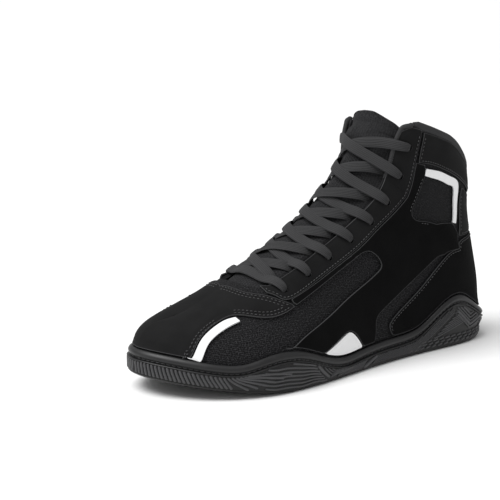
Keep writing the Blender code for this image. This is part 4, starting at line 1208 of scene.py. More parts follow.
def make_tongue():
    """The padded tongue: full in the middle, thin at its edges, with pressed seams across."""
    edges = Spline(*zip(*TONGUE))
    s = np.linspace(TONGUE[0][0], TONGUE[-1][0], TONGUE_ROWS)[:, None]
    share = np.linspace(0, 1, TONGUE_STEPS)[None, :]
    t = 1 - edges(s) * (1 - share)
    s = s - (0.16 + 0.75 * (1 - share) ** 4) * smooth_step(s, 10.3, TONGUE[-1][0])

    def puff(places, edge):
        s, t, side = places.T
        lift = TONGUE_FULL * smooth_step(edge, 0.0, 0.012) - TONGUE_THIN
        lift += TONGUE_TIP_FULL * smooth_step(s, 10.6, 11.1) * smooth_step(edge, 0, 0.008)
        for row, slant in TONGUE_SEAMS:
            apart = (s - row - slant * side * (1 - t) * 6) * 0.018
            lift -= SEAM_SINK * np.exp(-(apart / SEAM_WIDTH) ** 2) * smooth_step(edge, 0.002, 0.006)
        full = np.where(side < 0, TONGUE_BULGE[-1], TONGUE_BULGE[1])
        lift += full * np.exp(-((edge - 0.0135) / 0.0055) ** 2) * smooth_step(s, 3.6, 4.4)
        return lift - EDGE_SEAM_SINK * np.exp(-((edge - EDGE_SEAM) / EDGE_SEAM_WIDTH) ** 2)

    sheet = grid_sheet([((s, t), side) for side in (1, -1)])
    made = shell("tongue_pad", sheet, TONGUE_TOP - TONGUE_THICKNESS, TONGUE_TOP, "knit",
                 ("tongue",), puff, TONGUE_ROUND)


def tube(centre, across, up, section):
    """Points, faces and flat coordinates of a swept section. section(i) gives its (a, b) outline."""
    length = run_lengths(centre)
    outlines = [section(i) for i in range(len(centre))]
    points = [point + ring[:, :1] * across[i] + ring[:, 1:] * up[i]
              for i, (point, ring) in enumerate(zip(centre, outlines))]
    size = len(points[0])
    flat = []
    for i in range(len(centre) - 1):
        near, far = length[i], length[i + 1]
        girths = run_lengths(outlines[i])
        for k, low in enumerate(girths):
            high = low + np.linalg.norm(points[i][(k + 1) % size] - points[i][k])
            flat += [(near, low), (near, high), (far, high), (far, low)]
    flat += [(0, 0)] * (2 * size)
    return np.concatenate(points), swept_faces(0, len(centre), size), flat


ROLL_DROP = 0.0012
ROLL_WIDTH = 0.0027
ROLL_HEIGHT = 0.0032
ROLL_POINTS = 70
ROLL_SIDES = 20


def swept_frame(centre, side_hint):
    """Across and up directions along a swept line whose sections lean to the hints."""
    way = unit(np.gradient(centre, axis=0))
    across = unit(np.cross(way, side_hint))
    return across, np.cross(across, way)


def make_binding():
    """The padded roll along the collar's top edge, and the rolled edges of the throat."""
    edge = float(throat_edge(COLLAR_ROW - 0.02))
    down = np.linspace(edge - 0.02, 0, ROLL_POINTS)
    t = np.concatenate([down, np.linspace(0, edge - 0.02, ROLL_POINTS)[1:]])
    side = np.array([1] * ROLL_POINTS + [-1] * (ROLL_POINTS - 1))
    places = np.stack([COLLAR_ROW + 0 * t, t, side], -1)
    lift = fold_lift(places, last_at(places)) - UPPER_WALL / 2
    centre = last_at(dipped(places)) + normal_at(places) * lift[:, None]
    centre[:, 2] += BINDING_RADIUS + GAP - ROLL_DROP
    across, up = swept_frame(centre, (0, 0, 1))
    angles = np.linspace(0, math.tau, ROLL_SIDES, endpoint=False)

    def section(i):
        ends = min(i, len(centre) - 1 - i)
        size = min(1, 0.6 + 0.13 * ends)
        return size * np.stack([ROLL_WIDTH * np.cos(angles), ROLL_HEIGHT * np.sin(angles)], -1)

    points, faces, flat = tube(centre, across, up, section)
    made = make_piece("collar_roll", points, faces, ["trim"], ("collar_binding",), flat)
    for label, way in (("lateral", 1), ("medial", -1)):
        make_front_cord(label, way)


CORD_RADIUS = 0.0017
CORD_FOOT = 8.0
CORD_POINTS = 90
CORD_SIDES = 14
# How far the cord stands out of the throat's edge, and its wrinkles at the foot
CORD_OUT = 0.0004
WRINKLE_DEPTH = 0.10
WRINKLE_POINTS = 34


def make_front_cord(label, side):
    """The rolled edge that runs from the collar's corner down the throat."""
    s = np.linspace(CORD_FOOT, COLLAR_ROW - 0.08, CORD_POINTS)
    t = np.array([float(throat_edge(a)) for a in s])
    line = last(s, t, side) + surface_normal(s, t, side) * (PANEL_GAP - 0.0002)
    lean = unit(line - last(s, t - 0.02, side))
    turn = np.linspace(0, 1, 12)[1:, None]
    back = last(COLLAR_ROW, t[-1] - 0.03, side)
    back[2] += BINDING_RADIUS + GAP - ROLL_DROP
    tip = line[-1] + (line[-1] - line[-5]) * 0.9 + lean[-1] * CORD_OUT
    bend = line[-1] * (1 - turn) ** 2 + 2 * tip * turn * (1 - turn) + back * turn ** 2
    centre = np.concatenate([line + lean * CORD_OUT, bend])
    across, up = swept_frame(centre, np.array((0.5, 0.9 * side, 0.3)))
    angles = np.linspace(0, math.tau, CORD_SIDES, endpoint=False)

    def section(i):
        size = CORD_RADIUS * min(1, 0.35 + 0.05 * i, 0.6 + 0.1 * (len(centre) - 1 - i))
        size *= 1 + WRINKLE_DEPTH * math.sin(i * 1.9) * (i < WRINKLE_POINTS)
        return size * np.stack([np.cos(angles), np.sin(angles)], -1)

    points, faces, flat = tube(centre, across, up, section)
    made = make_piece(f"front_cord_{label}", points, faces, ["trim"], (), flat)


SOLE_STATIONS = (
    0.000, 0.021, 0.043, 0.067, 0.094, 0.125, 0.160, 0.198, 0.238, 0.278, 0.320, 0.362, 0.404, 0.450,
    0.505, 0.560, 0.615, 0.668, 0.708, 0.746, 0.784, 0.820, 0.855, 0.887, 0.916, 0.944, 0.972, 1.000)


def ray_depth(point, normal, line):
    """Distance from a point of the outline, inwards along its normal, to a plan line."""
    start, end = line[:-1], line[1:]
    way = end - start
    inward = -normal
    cross = inward[0] * way[:, 1] - inward[1] * way[:, 0]
    to = start - point
    safe = np.where(np.abs(cross) < 1e-12, 1, cross)
    distance = (to[:, 0] * way[:, 1] - to[:, 1] * way[:, 0]) / safe
    place = (to[:, 0] * inward[1] - to[:, 1] * inward[0]) / safe
    hit = (np.abs(cross) > 1e-12) & (place > -0.02) & (place < 1.02) & (distance > -0.002)
    return distance[hit].min() if hit.any() else FEATHER_INSET


def upper_depths(share, side, heights):
    """How far the upper lies inside the sole outline at each height, along the outline's normal."""
    point, normal = outline_at(share, side)
    line = SECTIONS[side]
    depths = []
    for height in heights:
        over = (line[..., 2] >= height).argmax(axis=1)
        reached = (line[:, 0, 2] < height) & (line[..., 2].max(axis=1) >= height)
        rows = np.nonzero(reached)[0]
        low, high = line[rows, over[rows] - 1], line[rows, over[rows]]
        part = ((height - low[:, 2]) / (high[:, 2] - low[:, 2]))[:, None]
        section = low[:, :2] + (high[:, :2] - low[:, :2]) * part
        back = FEATHER_INSET if height <= FOOTBED_HEIGHT else float(np.interp(height, BACK_Z, BACK_X))
        depths.append(ray_depth(point, normal, np.concatenate([section, [(back, 0.0)]])))
    return depths


SECTIONS = {side: last(np.linspace(0, COLLAR_ROW, 221)[:, None], np.linspace(0, 0.6, 61)[None, :], side)
            for side in (1, -1)}


def sole_depths():
    """The upper's depths at the wall levels, as curves of the outline share, for each side."""
    curves = {}
    for side in (1, -1):
        rows = []
        for share in SOLE_STATIONS:
            plan, normal = outline_at(share, side)
            feather = FOOTBED_HEIGHT + float(spring((plan - normal * FEATHER_INSET)[0]))
            heights = np.linspace(feather, float(wave_height(share, plan[0])), WALL_LEVELS)
            depths = upper_depths(share, side, heights)
            depths[0] = FEATHER_INSET
            rows.append(depths)
        curves[side] = Spline(SOLE_STATIONS, rows)
    return curves


SOLE_DEPTHS = sole_depths()


class SoleSide:
    """The sole's side at many outline shares of one half."""

    def __init__(self, share, side):
        self.share = np.asarray(share, float)
        self.plan, self.normal = outline_at(self.share, side)
        self.lift = spring(self.plan[:, 0])
        self.feather = FOOTBED_HEIGHT + spring((self.plan - self.normal * FEATHER_INSET)[:, 0])
        self.top = wave_height(self.share, self.plan[:, 0])
        self.depths = SOLE_DEPTHS[side](self.share)

    def wall(self, height, out):
        """Points of the wall at a height for each share, out from the upper's surface."""
        height = height + 0 * self.share
        level = np.clip((height - self.feather) / (self.top - self.feather), 0, 1) * (WALL_LEVELS - 1)
        i = np.minimum(level.astype(int), WALL_LEVELS - 2)
        rows = np.arange(len(self.share))
        part = level - i
        depth = self.depths[rows, i] * (1 - part) + self.depths[rows, i + 1] * part
        plan = self.plan - self.normal * (depth - CUP_GAP - out)[:, None]
        return np.concatenate([plan, height[:, None]], -1)

    def out(self, height):
        """How far the side stands out at a height."""
        full = FEATHER_INSET - CUP_GAP
        share = np.clip((height - self.feather) / SIDE_FLARE, 0, 1)
        return full + (BEAD_BULGE - full) * share

    def face(self, v, proud=0.0):
        """Point of the side's face: v 0 at the groove and 1 at the lower edge."""
        height = (self.top - SIDE_DROP) * (1 - v) + (self.lift + SIDE_FOOT) * v
        return self.wall(height, self.out(height) + proud)


# Ribs' height, how far the groove's floor stands out, and points along and down the sole
RIB_HEIGHT = 0.0010
GROOVE_FLOOR = BEAD_BULGE - GROOVE_DEPTH
SOLE_STEPS = 330
CUP_STEPS = 4
SIDE_LEVELS = 12
# Bead: height over the sole's top edge, share of the bulge
BEAD_PROFILE = ((0.0002, 0.10), (0.0006, 0.30), (0.0004, 0.52), (-0.0001, 0.72), (-0.0008, 0.88),
                (-0.0015, 0.97), (-0.0022, 1.00), (-0.0029, 0.97), (-0.0036, 0.88), (-0.0040, 0.74))
# Groove's floor: drops under the top edge. Its lower lip: drop, and shift out from the side.
GROOVE_DROPS = (0.0042, 0.0047, 0.0052)
GROOVE_LIP = ((0.0053, -0.0004), (0.0055, 0.0), (0.0058, 0.0001), (0.0061, -0.0001), (0.0063, -0.0005))
# Drop at which the ribbed side starts
SIDE_START = 0.0066
# Rounded foot and underside: height over the ground, distance in from the side
SOLE_FOOT = ((0.0016, 0.0007), (0.0008, 0.0013), (0.0003, 0.0020), (0.0, TREAD_EDGE),
             (0.0, TREAD_EDGE + TREAD_BAND), (TREAD_DEPTH, TREAD_EDGE + TREAD_BAND + 0.0006))


def make_sole():
    """The rubber cup: inner wall, bead, groove, side, rounded foot and underside."""
    share = np.linspace(0, 1, SOLE_STEPS)
    full = FEATHER_INSET - CUP_GAP
    parts = {}
    for side in (1, -1):
        place = SoleSide(share, side)
        lines = [place.wall(place.feather - SEAT_DEPTH, 0)]
        lines += [place.wall(place.feather + (place.top - place.feather) * k / CUP_STEPS, 0)
                  for k in range(1, CUP_STEPS + 1)]
        lines += [place.wall(place.top + rise, out * BEAD_BULGE) for rise, out in BEAD_PROFILE]
        lines += [place.wall(place.top - drop, GROOVE_FLOOR) for drop in GROOVE_DROPS]
        lines += [place.wall(place.top - drop, place.out(place.top - drop) + out) for drop, out in GROOVE_LIP]
        high, low = place.top - SIDE_START, place.lift + SIDE_FOOT
        for k in range(SIDE_LEVELS + 1):
            height = high + (low - high) * k / SIDE_LEVELS
            lines.append(place.wall(height, place.out(height) - RIB_HEIGHT))
        lines += [place.wall(place.lift + up, full - inset) for up, inset in SOLE_FOOT]
        parts[side] = np.stack(lines, 1)
    loop = np.concatenate([parts[1], parts[-1][-2:0:-1]])
    count, size, _ = loop.shape
    points = loop.reshape(-1, 3)
    faces = [[i * size + j, i * size + j + 1, (i + 1) % count * size + j + 1, (i + 1) % count * size + j]
             for i in range(count) for j in range(size - 1)]
    for end in (0, size - 1):
        for i in range(SOLE_STEPS - 1):
            ring = [i, i + 1, (count - i - 1) % count, (count - i) % count]
            faces.append([k * size + end for k in dict.fromkeys(ring)])
    flat = np.array([points[i, :2] for ring in faces for i in ring])
    groove = 1 + CUP_STEPS + len(BEAD_PROFILE)
    lip = groove + len(GROOVE_DROPS)
    under = lip + len(GROOVE_LIP) - 1
    # The groove, the side between the ribs and the underside take the darker rubber: painted shade in the
    # recesses and under the sole
    shaded = [int(groove - 1 <= ring[0] % size < lip or ring[0] % size >= under) for ring in faces]
    made = make_piece("sole_cup", points, faces, ["rubber", "shaded rubber"], ("outsole",),
                      flat, face_looks=shaded, sharp=50)
    weld(made, 1e-6)


RIB_SINK = 0.0003
RIB_PITCH = 0.0012
HALF_LENGTH = {side: np.linalg.norm(np.diff(HALVES[side][0], axis=0), axis=1).sum() for side in (1, -1)}
# Section of a rib: place across it, as a share of its width, and share of its height. The feet are sunk.
RIB_SECTION = ((-0.5, None), (-0.46, 0.55), (-0.30, 0.95), (0.0, 1.05), (0.30, 0.95), (0.46, 0.55),
               (0.5, None))


class SideRibs:
    """Collects raised ribs on the sole's side as closed strips."""

    def __init__(self, side):
        self.side = side
        self.points = []
        self.faces = []
        share = np.linspace(0, 1, 401)
        place = SoleSide(share, side)
        self.heights = share, (place.top - SIDE_DROP) - (place.lift + SIDE_FOOT)
        self.length = HALF_LENGTH[side]

    def high(self, share):
        """Height of the ribbed side at each share."""
        return np.interp(share, *self.heights)

    def floor(self, share, v):
        """Points of the side between the ribs."""
        return SoleSide(share, self.side).face(v, -RIB_HEIGHT)

    def add(self, share, v, width):
        """A rib along places (share, v), rounded at its ends."""
        share, v = np.asarray(share, float), np.asarray(v, float)
        along = run_lengths(SoleSide(share, self.side).face(v))
        end = along[-1]
        if end < 0.8 * width:
            return
        inner = np.linspace(0, end, max(3, math.ceil(end / RIB_PITCH)) + 1)
        taper = min(0.4 * width, 0.2 * end)
        even = np.unique(np.concatenate([inner, [0.3 * taper, taper, end - taper, end - 0.3 * taper]]))
        share, v = np.interp(even, along, share), np.interp(even, along, v)
        line = self.floor(share, v)
        ahead = self.floor(share + 1e-3, v) - self.floor(share - 1e-3, v)
        down = self.floor(share, v + 1e-2) - self.floor(share, v - 1e-2)
        normal = unit(np.cross(down, ahead) * -self.side)
        normal *= np.sign((normal[:, :2] * SoleSide(share, self.side).normal).sum(axis=1))[:, None]
        across = np.cross(normal, unit(np.gradient(line, axis=0), 1e-12))
        self.faces += swept_faces(len(self.points), len(line), len(RIB_SECTION))
        for i, point in enumerate(line):
            near_end = min(1, min(even[i], end - even[i]) / taper)
            size = 0.45 + 0.55 * near_end ** 0.5
            rise = RIB_HEIGHT * (0.2 + 0.8 * near_end)
            for a, part in RIB_SECTION:
                b = -RIB_SINK if part is None else part * rise
                self.points.append(point + across[i] * a * width * size + normal[i] * b)

    def rise(self, share, z, width, low, high):
        """A rib given by heights over the lower edge, kept between the edge and the groove."""
        v = 1 - z / self.high(share)
        keep = (v > low) & (v < high)
        if keep.sum() > 2:
            first = int(np.argmax(keep))
            last_one = first + int(np.argmin(np.append(keep[first:], False)))
            self.add(share[first:last_one], v[first:last_one], width)


# Widths of the rib families, and the part of the side's height that each keeps to
RIB_WIDTH = {"toe": 0.0020, "leaning": 0.0018, "wave": 0.0014, "fork": 0.0024, "fork edge": 0.0013,
             "fork line": 0.0010, "waist": 0.0011, "waist band": 0.0026, "heel line": 0.0009, "fan": 0.0012,
             "chevron": 0.0014, "broad chevron": 0.0024, "level": 0.0015, "block": 0.0014}
WAVE_SPAN = (0.06, 0.99)
LINE_SPAN = (0.07, 0.97)
FAN_SPAN = (0.08, 0.95)
HEEL_SPAN = (0.07, 0.95)
BLOCK_SPAN = (0.02, 0.97)
TOE_RIB_PITCH = 0.0028
WAVE_STARTS = (0.262, 0.256, 0.262, 0.252, 0.262, 0.268, 0.285)
# Rows of short blocks along the heel's foot: first and last share
BLOCK_ROWS = ((0.665, 1.0), (0.682, 0.985), (0.705, 0.905))
BLOCK_STEP = 0.0060
BLOCK_LENGTH = 0.0045


def toe_ribs(ribs):
    """Slanting ribs round the toe."""
    pitch = TOE_RIB_PITCH / ribs.length
    v = np.linspace(0.04, 1.0, 12)
    for k in range(23):
        start = (k + 0.5) * pitch
        ribs.add(start + (0.003 + 0.07 * start) * v ** 1.4, v, RIB_WIDTH["toe"])
    for k in range(6):
        start = (23.4 + 0.9 * k) * pitch
        ribs.add(start + (0.040 + 0.011 * k) * v ** 1.7, v * (0.98 - 0.11 * k), RIB_WIDTH["leaning"])


def midfoot_ribs(ribs):
    """Long wavy ribs under the middle wave, closing at a forked band."""
    share = np.linspace(0.20, 0.425, 70)
    for k, start in enumerate(WAVE_STARTS):
        mine = share[share > start]
        sink = 1 - 0.45 * smooth_step(mine, 0.33, 0.42)
        z = (0.0012 + 0.0025 * k) * sink + 0.0004 * np.sin(math.tau * (mine - 0.3) / 0.065)
        kept = mine < 0.416 - 0.005 * k
        ribs.rise(mine[kept], z[kept], RIB_WIDTH["wave"], *WAVE_SPAN)
    ribs.add(np.linspace(0.390, 0.424, 10), np.linspace(0.06, 0.84, 10), RIB_WIDTH["fork"])
    falling = 0.84 - 0.60 * np.linspace(0, 1, 12) ** 0.8
    ribs.add(np.linspace(0.424, 0.495, 12), falling, RIB_WIDTH["fork edge"])
    for k in range(3):
        low = 0.60 - 0.17 * k
        ribs.add([0.408 + 0.010 * k, 0.428 + 0.006 * k, 0.440 + 0.004 * k, 0.475 - 0.012 * k],
                 [0.08, low, low - 0.04, 0.08], RIB_WIDTH["fork line"])


def waist_ribs(ribs):
    """Fine slanting ribs along the waist, growing long as the heel rises."""
    steps = np.linspace(0, 1, 8)
    for k in range(13):
        start = 0.447 + 0.0058 * k
        ribs.add(start + 0.020 * steps, 0.97 - 0.87 * steps, RIB_WIDTH["waist"])
    ribs.add(0.527 + 0.044 * steps, 0.95 - 0.80 * steps, RIB_WIDTH["waist band"])
    for k in range(25):
        start = 0.553 + 0.0057 * k
        slope = 0.86 - 0.010 * k
        share = np.linspace(start, min(start + 0.16, 0.80), 60)
        ribs.rise(share, slope * (share - start) * ribs.length, RIB_WIDTH["heel line"], *LINE_SPAN)


def heel_ribs(ribs):
    """Fanned ribs, nested chevrons and short blocks at the heel."""
    for k in range(8):
        level = 0.0068 + 0.0023 * k
        start = 0.712 + level / (0.66 * ribs.length)
        share = np.linspace(start, 0.838 - 0.005 * k, 30)
        ribs.rise(share, level + 0.26 * (share - start) * ribs.length, RIB_WIDTH["fan"], *FAN_SPAN)
    left = np.linspace(0, 1, 14)
    for k in range(5):
        apex = 0.0088 + 0.0025 * k
        share = np.concatenate([0.810 + 0.042 * left, 0.852 + 0.078 * left[1:]])
        z = np.concatenate([apex + 0.0125 * (1 - left), apex + 0.0070 * left[1:]])
        ribs.rise(share, z, RIB_WIDTH["broad chevron" if k == 1 else "chevron"], *HEEL_SPAN)
    share = np.linspace(0.90, 1.0, 20)
    for k in range(3):
        ribs.rise(share, 0.0058 + 0.0023 * k + 0 * share, RIB_WIDTH["level"], *HEEL_SPAN)
    step = BLOCK_STEP / ribs.length
    for row, (start, end) in enumerate(BLOCK_ROWS):
        low = 0.0010 + 0.0021 * row
        place = start + 0.5 * step * (row % 2)
        while place < end:
            share = place + np.linspace(0, BLOCK_LENGTH, 5) / ribs.length
            z = low + 0.25 * (share - place) * ribs.length
            ribs.rise(share, z, RIB_WIDTH["block"], *BLOCK_SPAN)
            place += step


def make_sole_ribs():
    """Every raised rib of the sole's two sides."""
    for label, side in (("lateral", 1), ("medial", -1)):
        ribs = SideRibs(side)
        for family in (toe_ribs, midfoot_ribs, waist_ribs, heel_ribs):
            family(ribs)
        # The ribs take the lighter rubber copy: painted light on their tops
        made = make_piece(f"sole_ribs_{label}", ribs.points, ribs.faces, ["lit rib rubber"],
                          sharp=50)
        weld(made, 1e-6)


# The heavy thread of the sole: height over the groove's floor, pitch, length and radius
SOLE_THREAD = (0.0001, 0.0037, 0.0031, 0.00042)


def make_sole_stitches():
    """Heavy thread sunk in the groove under the bead."""
    rows = []
    for side in (1, -1):
        place = SoleSide(np.linspace(0.002, 0.998, 500), side)
        line = place.wall(place.top - GROOVE_DROPS[1], GROOVE_FLOOR)
        rows.append((line, np.concatenate([place.normal, 0 * place.normal[:, :1]], 1)))
    height, pitch, length, radius = SOLE_THREAD
    stitches("sole_stitches", rows, height, pitch, length, radius)


LUG_SIZE = 0.0025
LUG_STEP = 0.0064
LUG_SIDES = 12
# Rings of a lug: size and height over the ground
LUG_RINGS = ((1.0, TREAD_DEPTH + 0.0004), (1.0, 0.0003), (0.86, 0.0), (0.45, 0.0001))
# Lugs grow at the front, and small ones fill the two round pads
FRONT_LUG, HEEL_LUG, PAD_LUG = 1.12 * LUG_SIZE, 0.95 * LUG_SIZE, 0.0013
PADS = ((0.655 * SOLE_LENGTH, 0.02 * BALL_WIDTH), (0.145 * SOLE_LENGTH, 0.0))
PAD_RINGS = 4
# The arched oval: middle, half sizes kept free of lugs, half sizes of its outer arc and steps inwards
OVAL_MIDDLE = (0.40 * SOLE_LENGTH, 0.06 * BALL_WIDTH)
OVAL_FREE = (0.031, 0.017)
OVAL_HALF = (0.0285, 0.0150)
OVAL_STEP = (0.0052, 0.0027)
OVAL_ARCS = 5
OVAL_POINTS = 48
# Section of an arc: place across it and height over the ground
ARC_SECTION = ((-0.0010, TREAD_DEPTH + 0.0004), (-0.0009, 0.0002), (0.0, 0.0), (0.0009, 0.0002),
               (0.0010, TREAD_DEPTH + 0.0004))


def lug_places():
    """Middle and radius of every lug."""
    tree = point_tree(np.concatenate([HALVES[1][0], HALVES[-1][0][::-1]]))
    limits = {side: np.array(sorted(map(tuple, HALVES[side][0]))).T for side in (1, -1)}
    rise = LUG_STEP * math.sqrt(3) / 2
    for row in range(int(SOLE_LENGTH / rise)):
        x = row * rise
        for column in range(-9, 10):
            y = (column + 0.5 * (row % 2)) * LUG_STEP
            inside = float(np.interp(x, *limits[-1])) < y < float(np.interp(x, *limits[1]))
            margin = tree.find((x, y, 0))[2] - TREAD_EDGE - TREAD_BAND - 0.0008
            off_oval = sum(((a - b) / c) ** 2 for a, b, c in zip((x, y), OVAL_MIDDLE, OVAL_FREE)) > 1
            near_pad = any(math.hypot(x - a, y - b) < PAD_RADIUS + LUG_SIZE + 0.0016 for a, b in PADS)
            if inside and margin > LUG_SIZE and off_oval and not near_pad:
                yield x, y, FRONT_LUG if x > 0.5 * SOLE_LENGTH else HEEL_LUG
    for x, y in PADS:
        for ring in range(PAD_RINGS):
            reach = PAD_RADIUS * 0.30 * ring
            for a, b in round_ring(max(1, 6 * ring)):
                yield x + reach * a, y + reach * b, PAD_LUG


def make_tread():
    """Round lugs over ball, toe and heel, with an arched oval in the middle."""
    points, faces = [], []
    for x, y, radius in lug_places():
        faces += [face[::-1] for face in swept_faces(len(points), len(LUG_RINGS), LUG_SIDES)]
        low = float(spring(x))
        points += [(x + radius * size * a, y + radius * size * b, low + height)
                   for size, height in LUG_RINGS for a, b in round_ring(LUG_SIDES)]
    weld(make_piece("tread_lugs", points, faces, ["rubber"], sharp=50), 1e-7)
    points, faces = [], []
    size = len(ARC_SECTION)
    for ring in range(OVAL_ARCS):
        first = len(points)
        reach, broad = (half - step * ring for half, step in zip(OVAL_HALF, OVAL_STEP))
        for i, (a, b) in enumerate(round_ring(OVAL_POINTS)):
            x, y = OVAL_MIDDLE[0] + reach * a, OVAL_MIDDLE[1] + broad * b
            out = unit(np.array((a / reach, b / broad)))
            low = float(spring(x))
            points += [(x + out[0] * shift, y + out[1] * shift, low + height)
                       for shift, height in ARC_SECTION]
            here = [first + i * size + k for k in range(size)]
            there = [first + (i + 1) % OVAL_POINTS * size + k for k in range(size)]
            faces += zip(here, here[1:] + here[:1], there[1:] + there[:1], there)
    weld(make_piece("tread_arcs", points, faces, ["rubber"], sharp=50), 1e-7)


EYELET_SIDES = 16
PUNCH_REACH = 2.5 * UPPER_WALL


def eyelet_axes():
    """Middle and outward direction of every eyelet."""
    for s, t in EYELETS:
        for side in (1, -1):
            yield last(s, t, side), surface_normal(s, t, side)


def cut_eyelets(targets):
    """Punch the eyelets through the targets."""
    points, faces = [], []
    for centre, axis in eyelet_axes():
        across = unit(np.cross(axis, (0, 0, 1)))
        up = np.cross(across, axis)
        near = list(range(len(points), len(points) + EYELET_SIDES))
        far = [k + EYELET_SIDES for k in near]
        faces += [near, far[::-1]]
        faces += [list(face) for face in zip(near[1:] + near[:1], far[1:] + far[:1], far, near)]
        points += [centre + axis * offset + (across * a + up * b) * EYELET_RADIUS
                   for offset in (-PUNCH_REACH, PUNCH_REACH) for a, b in round_ring(EYELET_SIDES)]
    data = bpy.data.meshes.new("cutter")
    data.from_pydata([tuple(p - CENTRE) for p in points], [], faces)
    cutter = placed("cutter", data)
    weld(cutter)
    for target in targets:
        change = target.modifiers.new("eyelets", "BOOLEAN")
        change.operation = "DIFFERENCE"
        change.solver = "EXACT"
        change.object = cutter
        apply_modifiers(target)
    bpy.data.objects.remove(cutter)


# Offsets of a lace's middle from the last: under the eyestay, on it and on the tongue
UNDER_DEPTH = -(UPPER_WALL + 0.0003 + LACE_THICKNESS / 2)
ON_EYESTAY = EYESTAY_TOP + LACE_GAP + LACE_THICKNESS / 2 - 0.0006
ON_TONGUE = TONGUE_TOP + LACE_GAP + LACE_THICKNESS / 2


# A lace at its eyelet is narrower and thicker
LACE_NECK_WIDTH = 0.0034
LACE_NECK_THICKNESS = 0.0023
LACE_CORDS = 7
LACE_CORD_HEIGHT = 0.00013
LACE_POINTS = 110
# How far a crossing's middle sags towards the toe, in rows, by the row of its start
LACE_SAG = ((3.8, 5.0, 8.0, 9.8), (0.10, 0.30, 0.34, 0.62))
BAR_LIFT = 0.0012
OVER_LIFT = 0.0013


def lace_section(width, thickness):
    """Outline of a flat braided lace with cords along it."""
    across = np.linspace(-1, 1, 29)
    swell = (1 - np.abs(across) ** 3.2) ** 0.5
    cords = LACE_CORD_HEIGHT * np.cos(across * math.pi * LACE_CORDS) * (1 - across ** 4)
    top = np.stack([across * width / 2, swell * thickness / 2 + cords], -1)
    bottom = np.stack([across[::-1] * width / 2, -(swell * thickness / 2 + cords)[::-1]], -1)
    return np.concatenate([top, bottom[1:-1]])


def lace_points(start, end, start_high, end_high, lift):
    """Places (share of the run, w, offset, size) of one lace run. w runs over the ridge: t, then 2 - t."""
    edge, far = float(throat_edge(start[0])), 2 - float(throat_edge(end[0]))
    first, final = start[1], 2 - end[1]
    low, high, lower = ON_TONGUE + 0.0013, ON_TONGUE + 0.0002 + lift, ON_EYESTAY - 0.0002
    if start_high:
        keys = [(0.0, first - 0.004, -0.0022, 0.0), (0.0, first, 0.0006, 0.05),
                (0.012, first + 0.014, ON_EYESTAY, 0.35), (0.07, edge + 0.002, lower, 0.9),
                (0.20, edge + 0.09, high, 1.0)]
    else:
        keys = [(0.0, first, -0.0006, 0.0), (0.01, first + 0.015, UNDER_DEPTH, 0.4),
                (0.08, edge + 0.02, UNDER_DEPTH, 0.9), (0.20, edge + 0.09, low, 1.0)]
    keys.append((0.5, 1.0, ON_TONGUE + lift, 1.0))
    if end_high:
        keys += [(0.80, far - 0.09, high, 1.0), (0.93, far - 0.002, lower, 0.9),
                 (0.988, final - 0.014, ON_EYESTAY, 0.35), (1.0, final, 0.0006, 0.05),
                 (1.0, final + 0.004, -0.0022, 0.0)]
    else:
        keys += [(0.80, far - 0.09, low, 1.0), (0.92, far - 0.02, UNDER_DEPTH, 0.9),
                 (0.99, final - 0.015, UNDER_DEPTH, 0.4), (1.0, final, -0.0006, 0.0)]
    return np.array(keys)


def lace_run(start, end, side, start_high, end_high, lift):
    """Points, faces and flat coordinates of one lace run."""
    keys = lace_points(start, end, start_high, end_high, lift)
    s = start[0] + (end[0] - start[0]) * keys[:, 0]
    s -= np.interp(start[0], *LACE_SAG) * np.sin(math.pi * np.clip(keys[:, 0], 0, 1))
    points, normals = [], []
    for a, w, offset in zip(s, keys[:, 1], keys[:, 2]):
        t, way = (w, side) if w <= 1 else (2 - w, -side)
        normal = surface_normal(a, t, way)
        points.append(last(a, t, way) + normal * offset)
        normals.append(normal)
    points, normals = np.array(points), np.array(normals)
    places = curve_places(points)
    even = np.linspace(0, places[-1], LACE_POINTS)
    centre = Spline(places, points)(even)
    size = np.interp(even, places, keys[:, 3])
    normal = read_line(even, places, normals)
    slope = np.gradient(centre, axis=0)
    level = slope - normal * (slope * normal).sum(1)[:, None]
    length = np.linalg.norm(level, axis=1)
    good = length > 0.35 * np.median(length)
    across = np.cross(normal, level)[good] / length[good][:, None]
    across = unit(read_line(np.arange(len(centre)), np.arange(len(centre))[good], across))
    way = unit(slope)
    across = unit(across - way * (across * way).sum(1)[:, None])
    up = np.cross(way, across)
    up *= np.sign((up * normal).sum(1).mean())

    def section(i):
        share = size[i] ** 0.6
        width = LACE_NECK_WIDTH + (LACE_WIDTH - LACE_NECK_WIDTH) * share
        thickness = LACE_NECK_THICKNESS + (LACE_THICKNESS - LACE_NECK_THICKNESS) * share
        return lace_section(width, thickness)

    return tube(centre, across, up, section)


def joined(parts):
    """Several (points, faces, flat) as one."""
    points, faces, flats = [], [], []
    for part_points, part_faces, part_flat in parts:
        faces += [[i + sum(map(len, points)) for i in ring] for ring in part_faces]
        points.append(part_points)
        flats += list(part_flat)
    return np.concatenate(points), faces, np.array(flats)


def make_laces():
    """The bottom bar and seven crossings, threaded through the eyelets."""
    bar = lace_run(EYELETS[0], EYELETS[0], 1, True, True, BAR_LIFT)
    laces = [("lace_bar", "lace_bottom_bar", [bar])]
    for k, over_side in enumerate(OVER_SIDES):
        top = k == len(OVER_SIDES) - 1
        runs = [lace_run(EYELETS[k], EYELETS[k + 1], side, k > 0, top,
                         TOP_LACE_LIFT * top + OVER_LIFT * (side == over_side)) for side in (1, -1)]
        laces.append((f"lace_pair_{k + 1}", f"lace_crossing_{k + 1}", runs))
    for name, node, runs in laces:
        points, faces, flat = joined(runs)
        weld(make_piece(name, points, faces, ["lace"], (node,), flat, sharp=60), 1e-7)


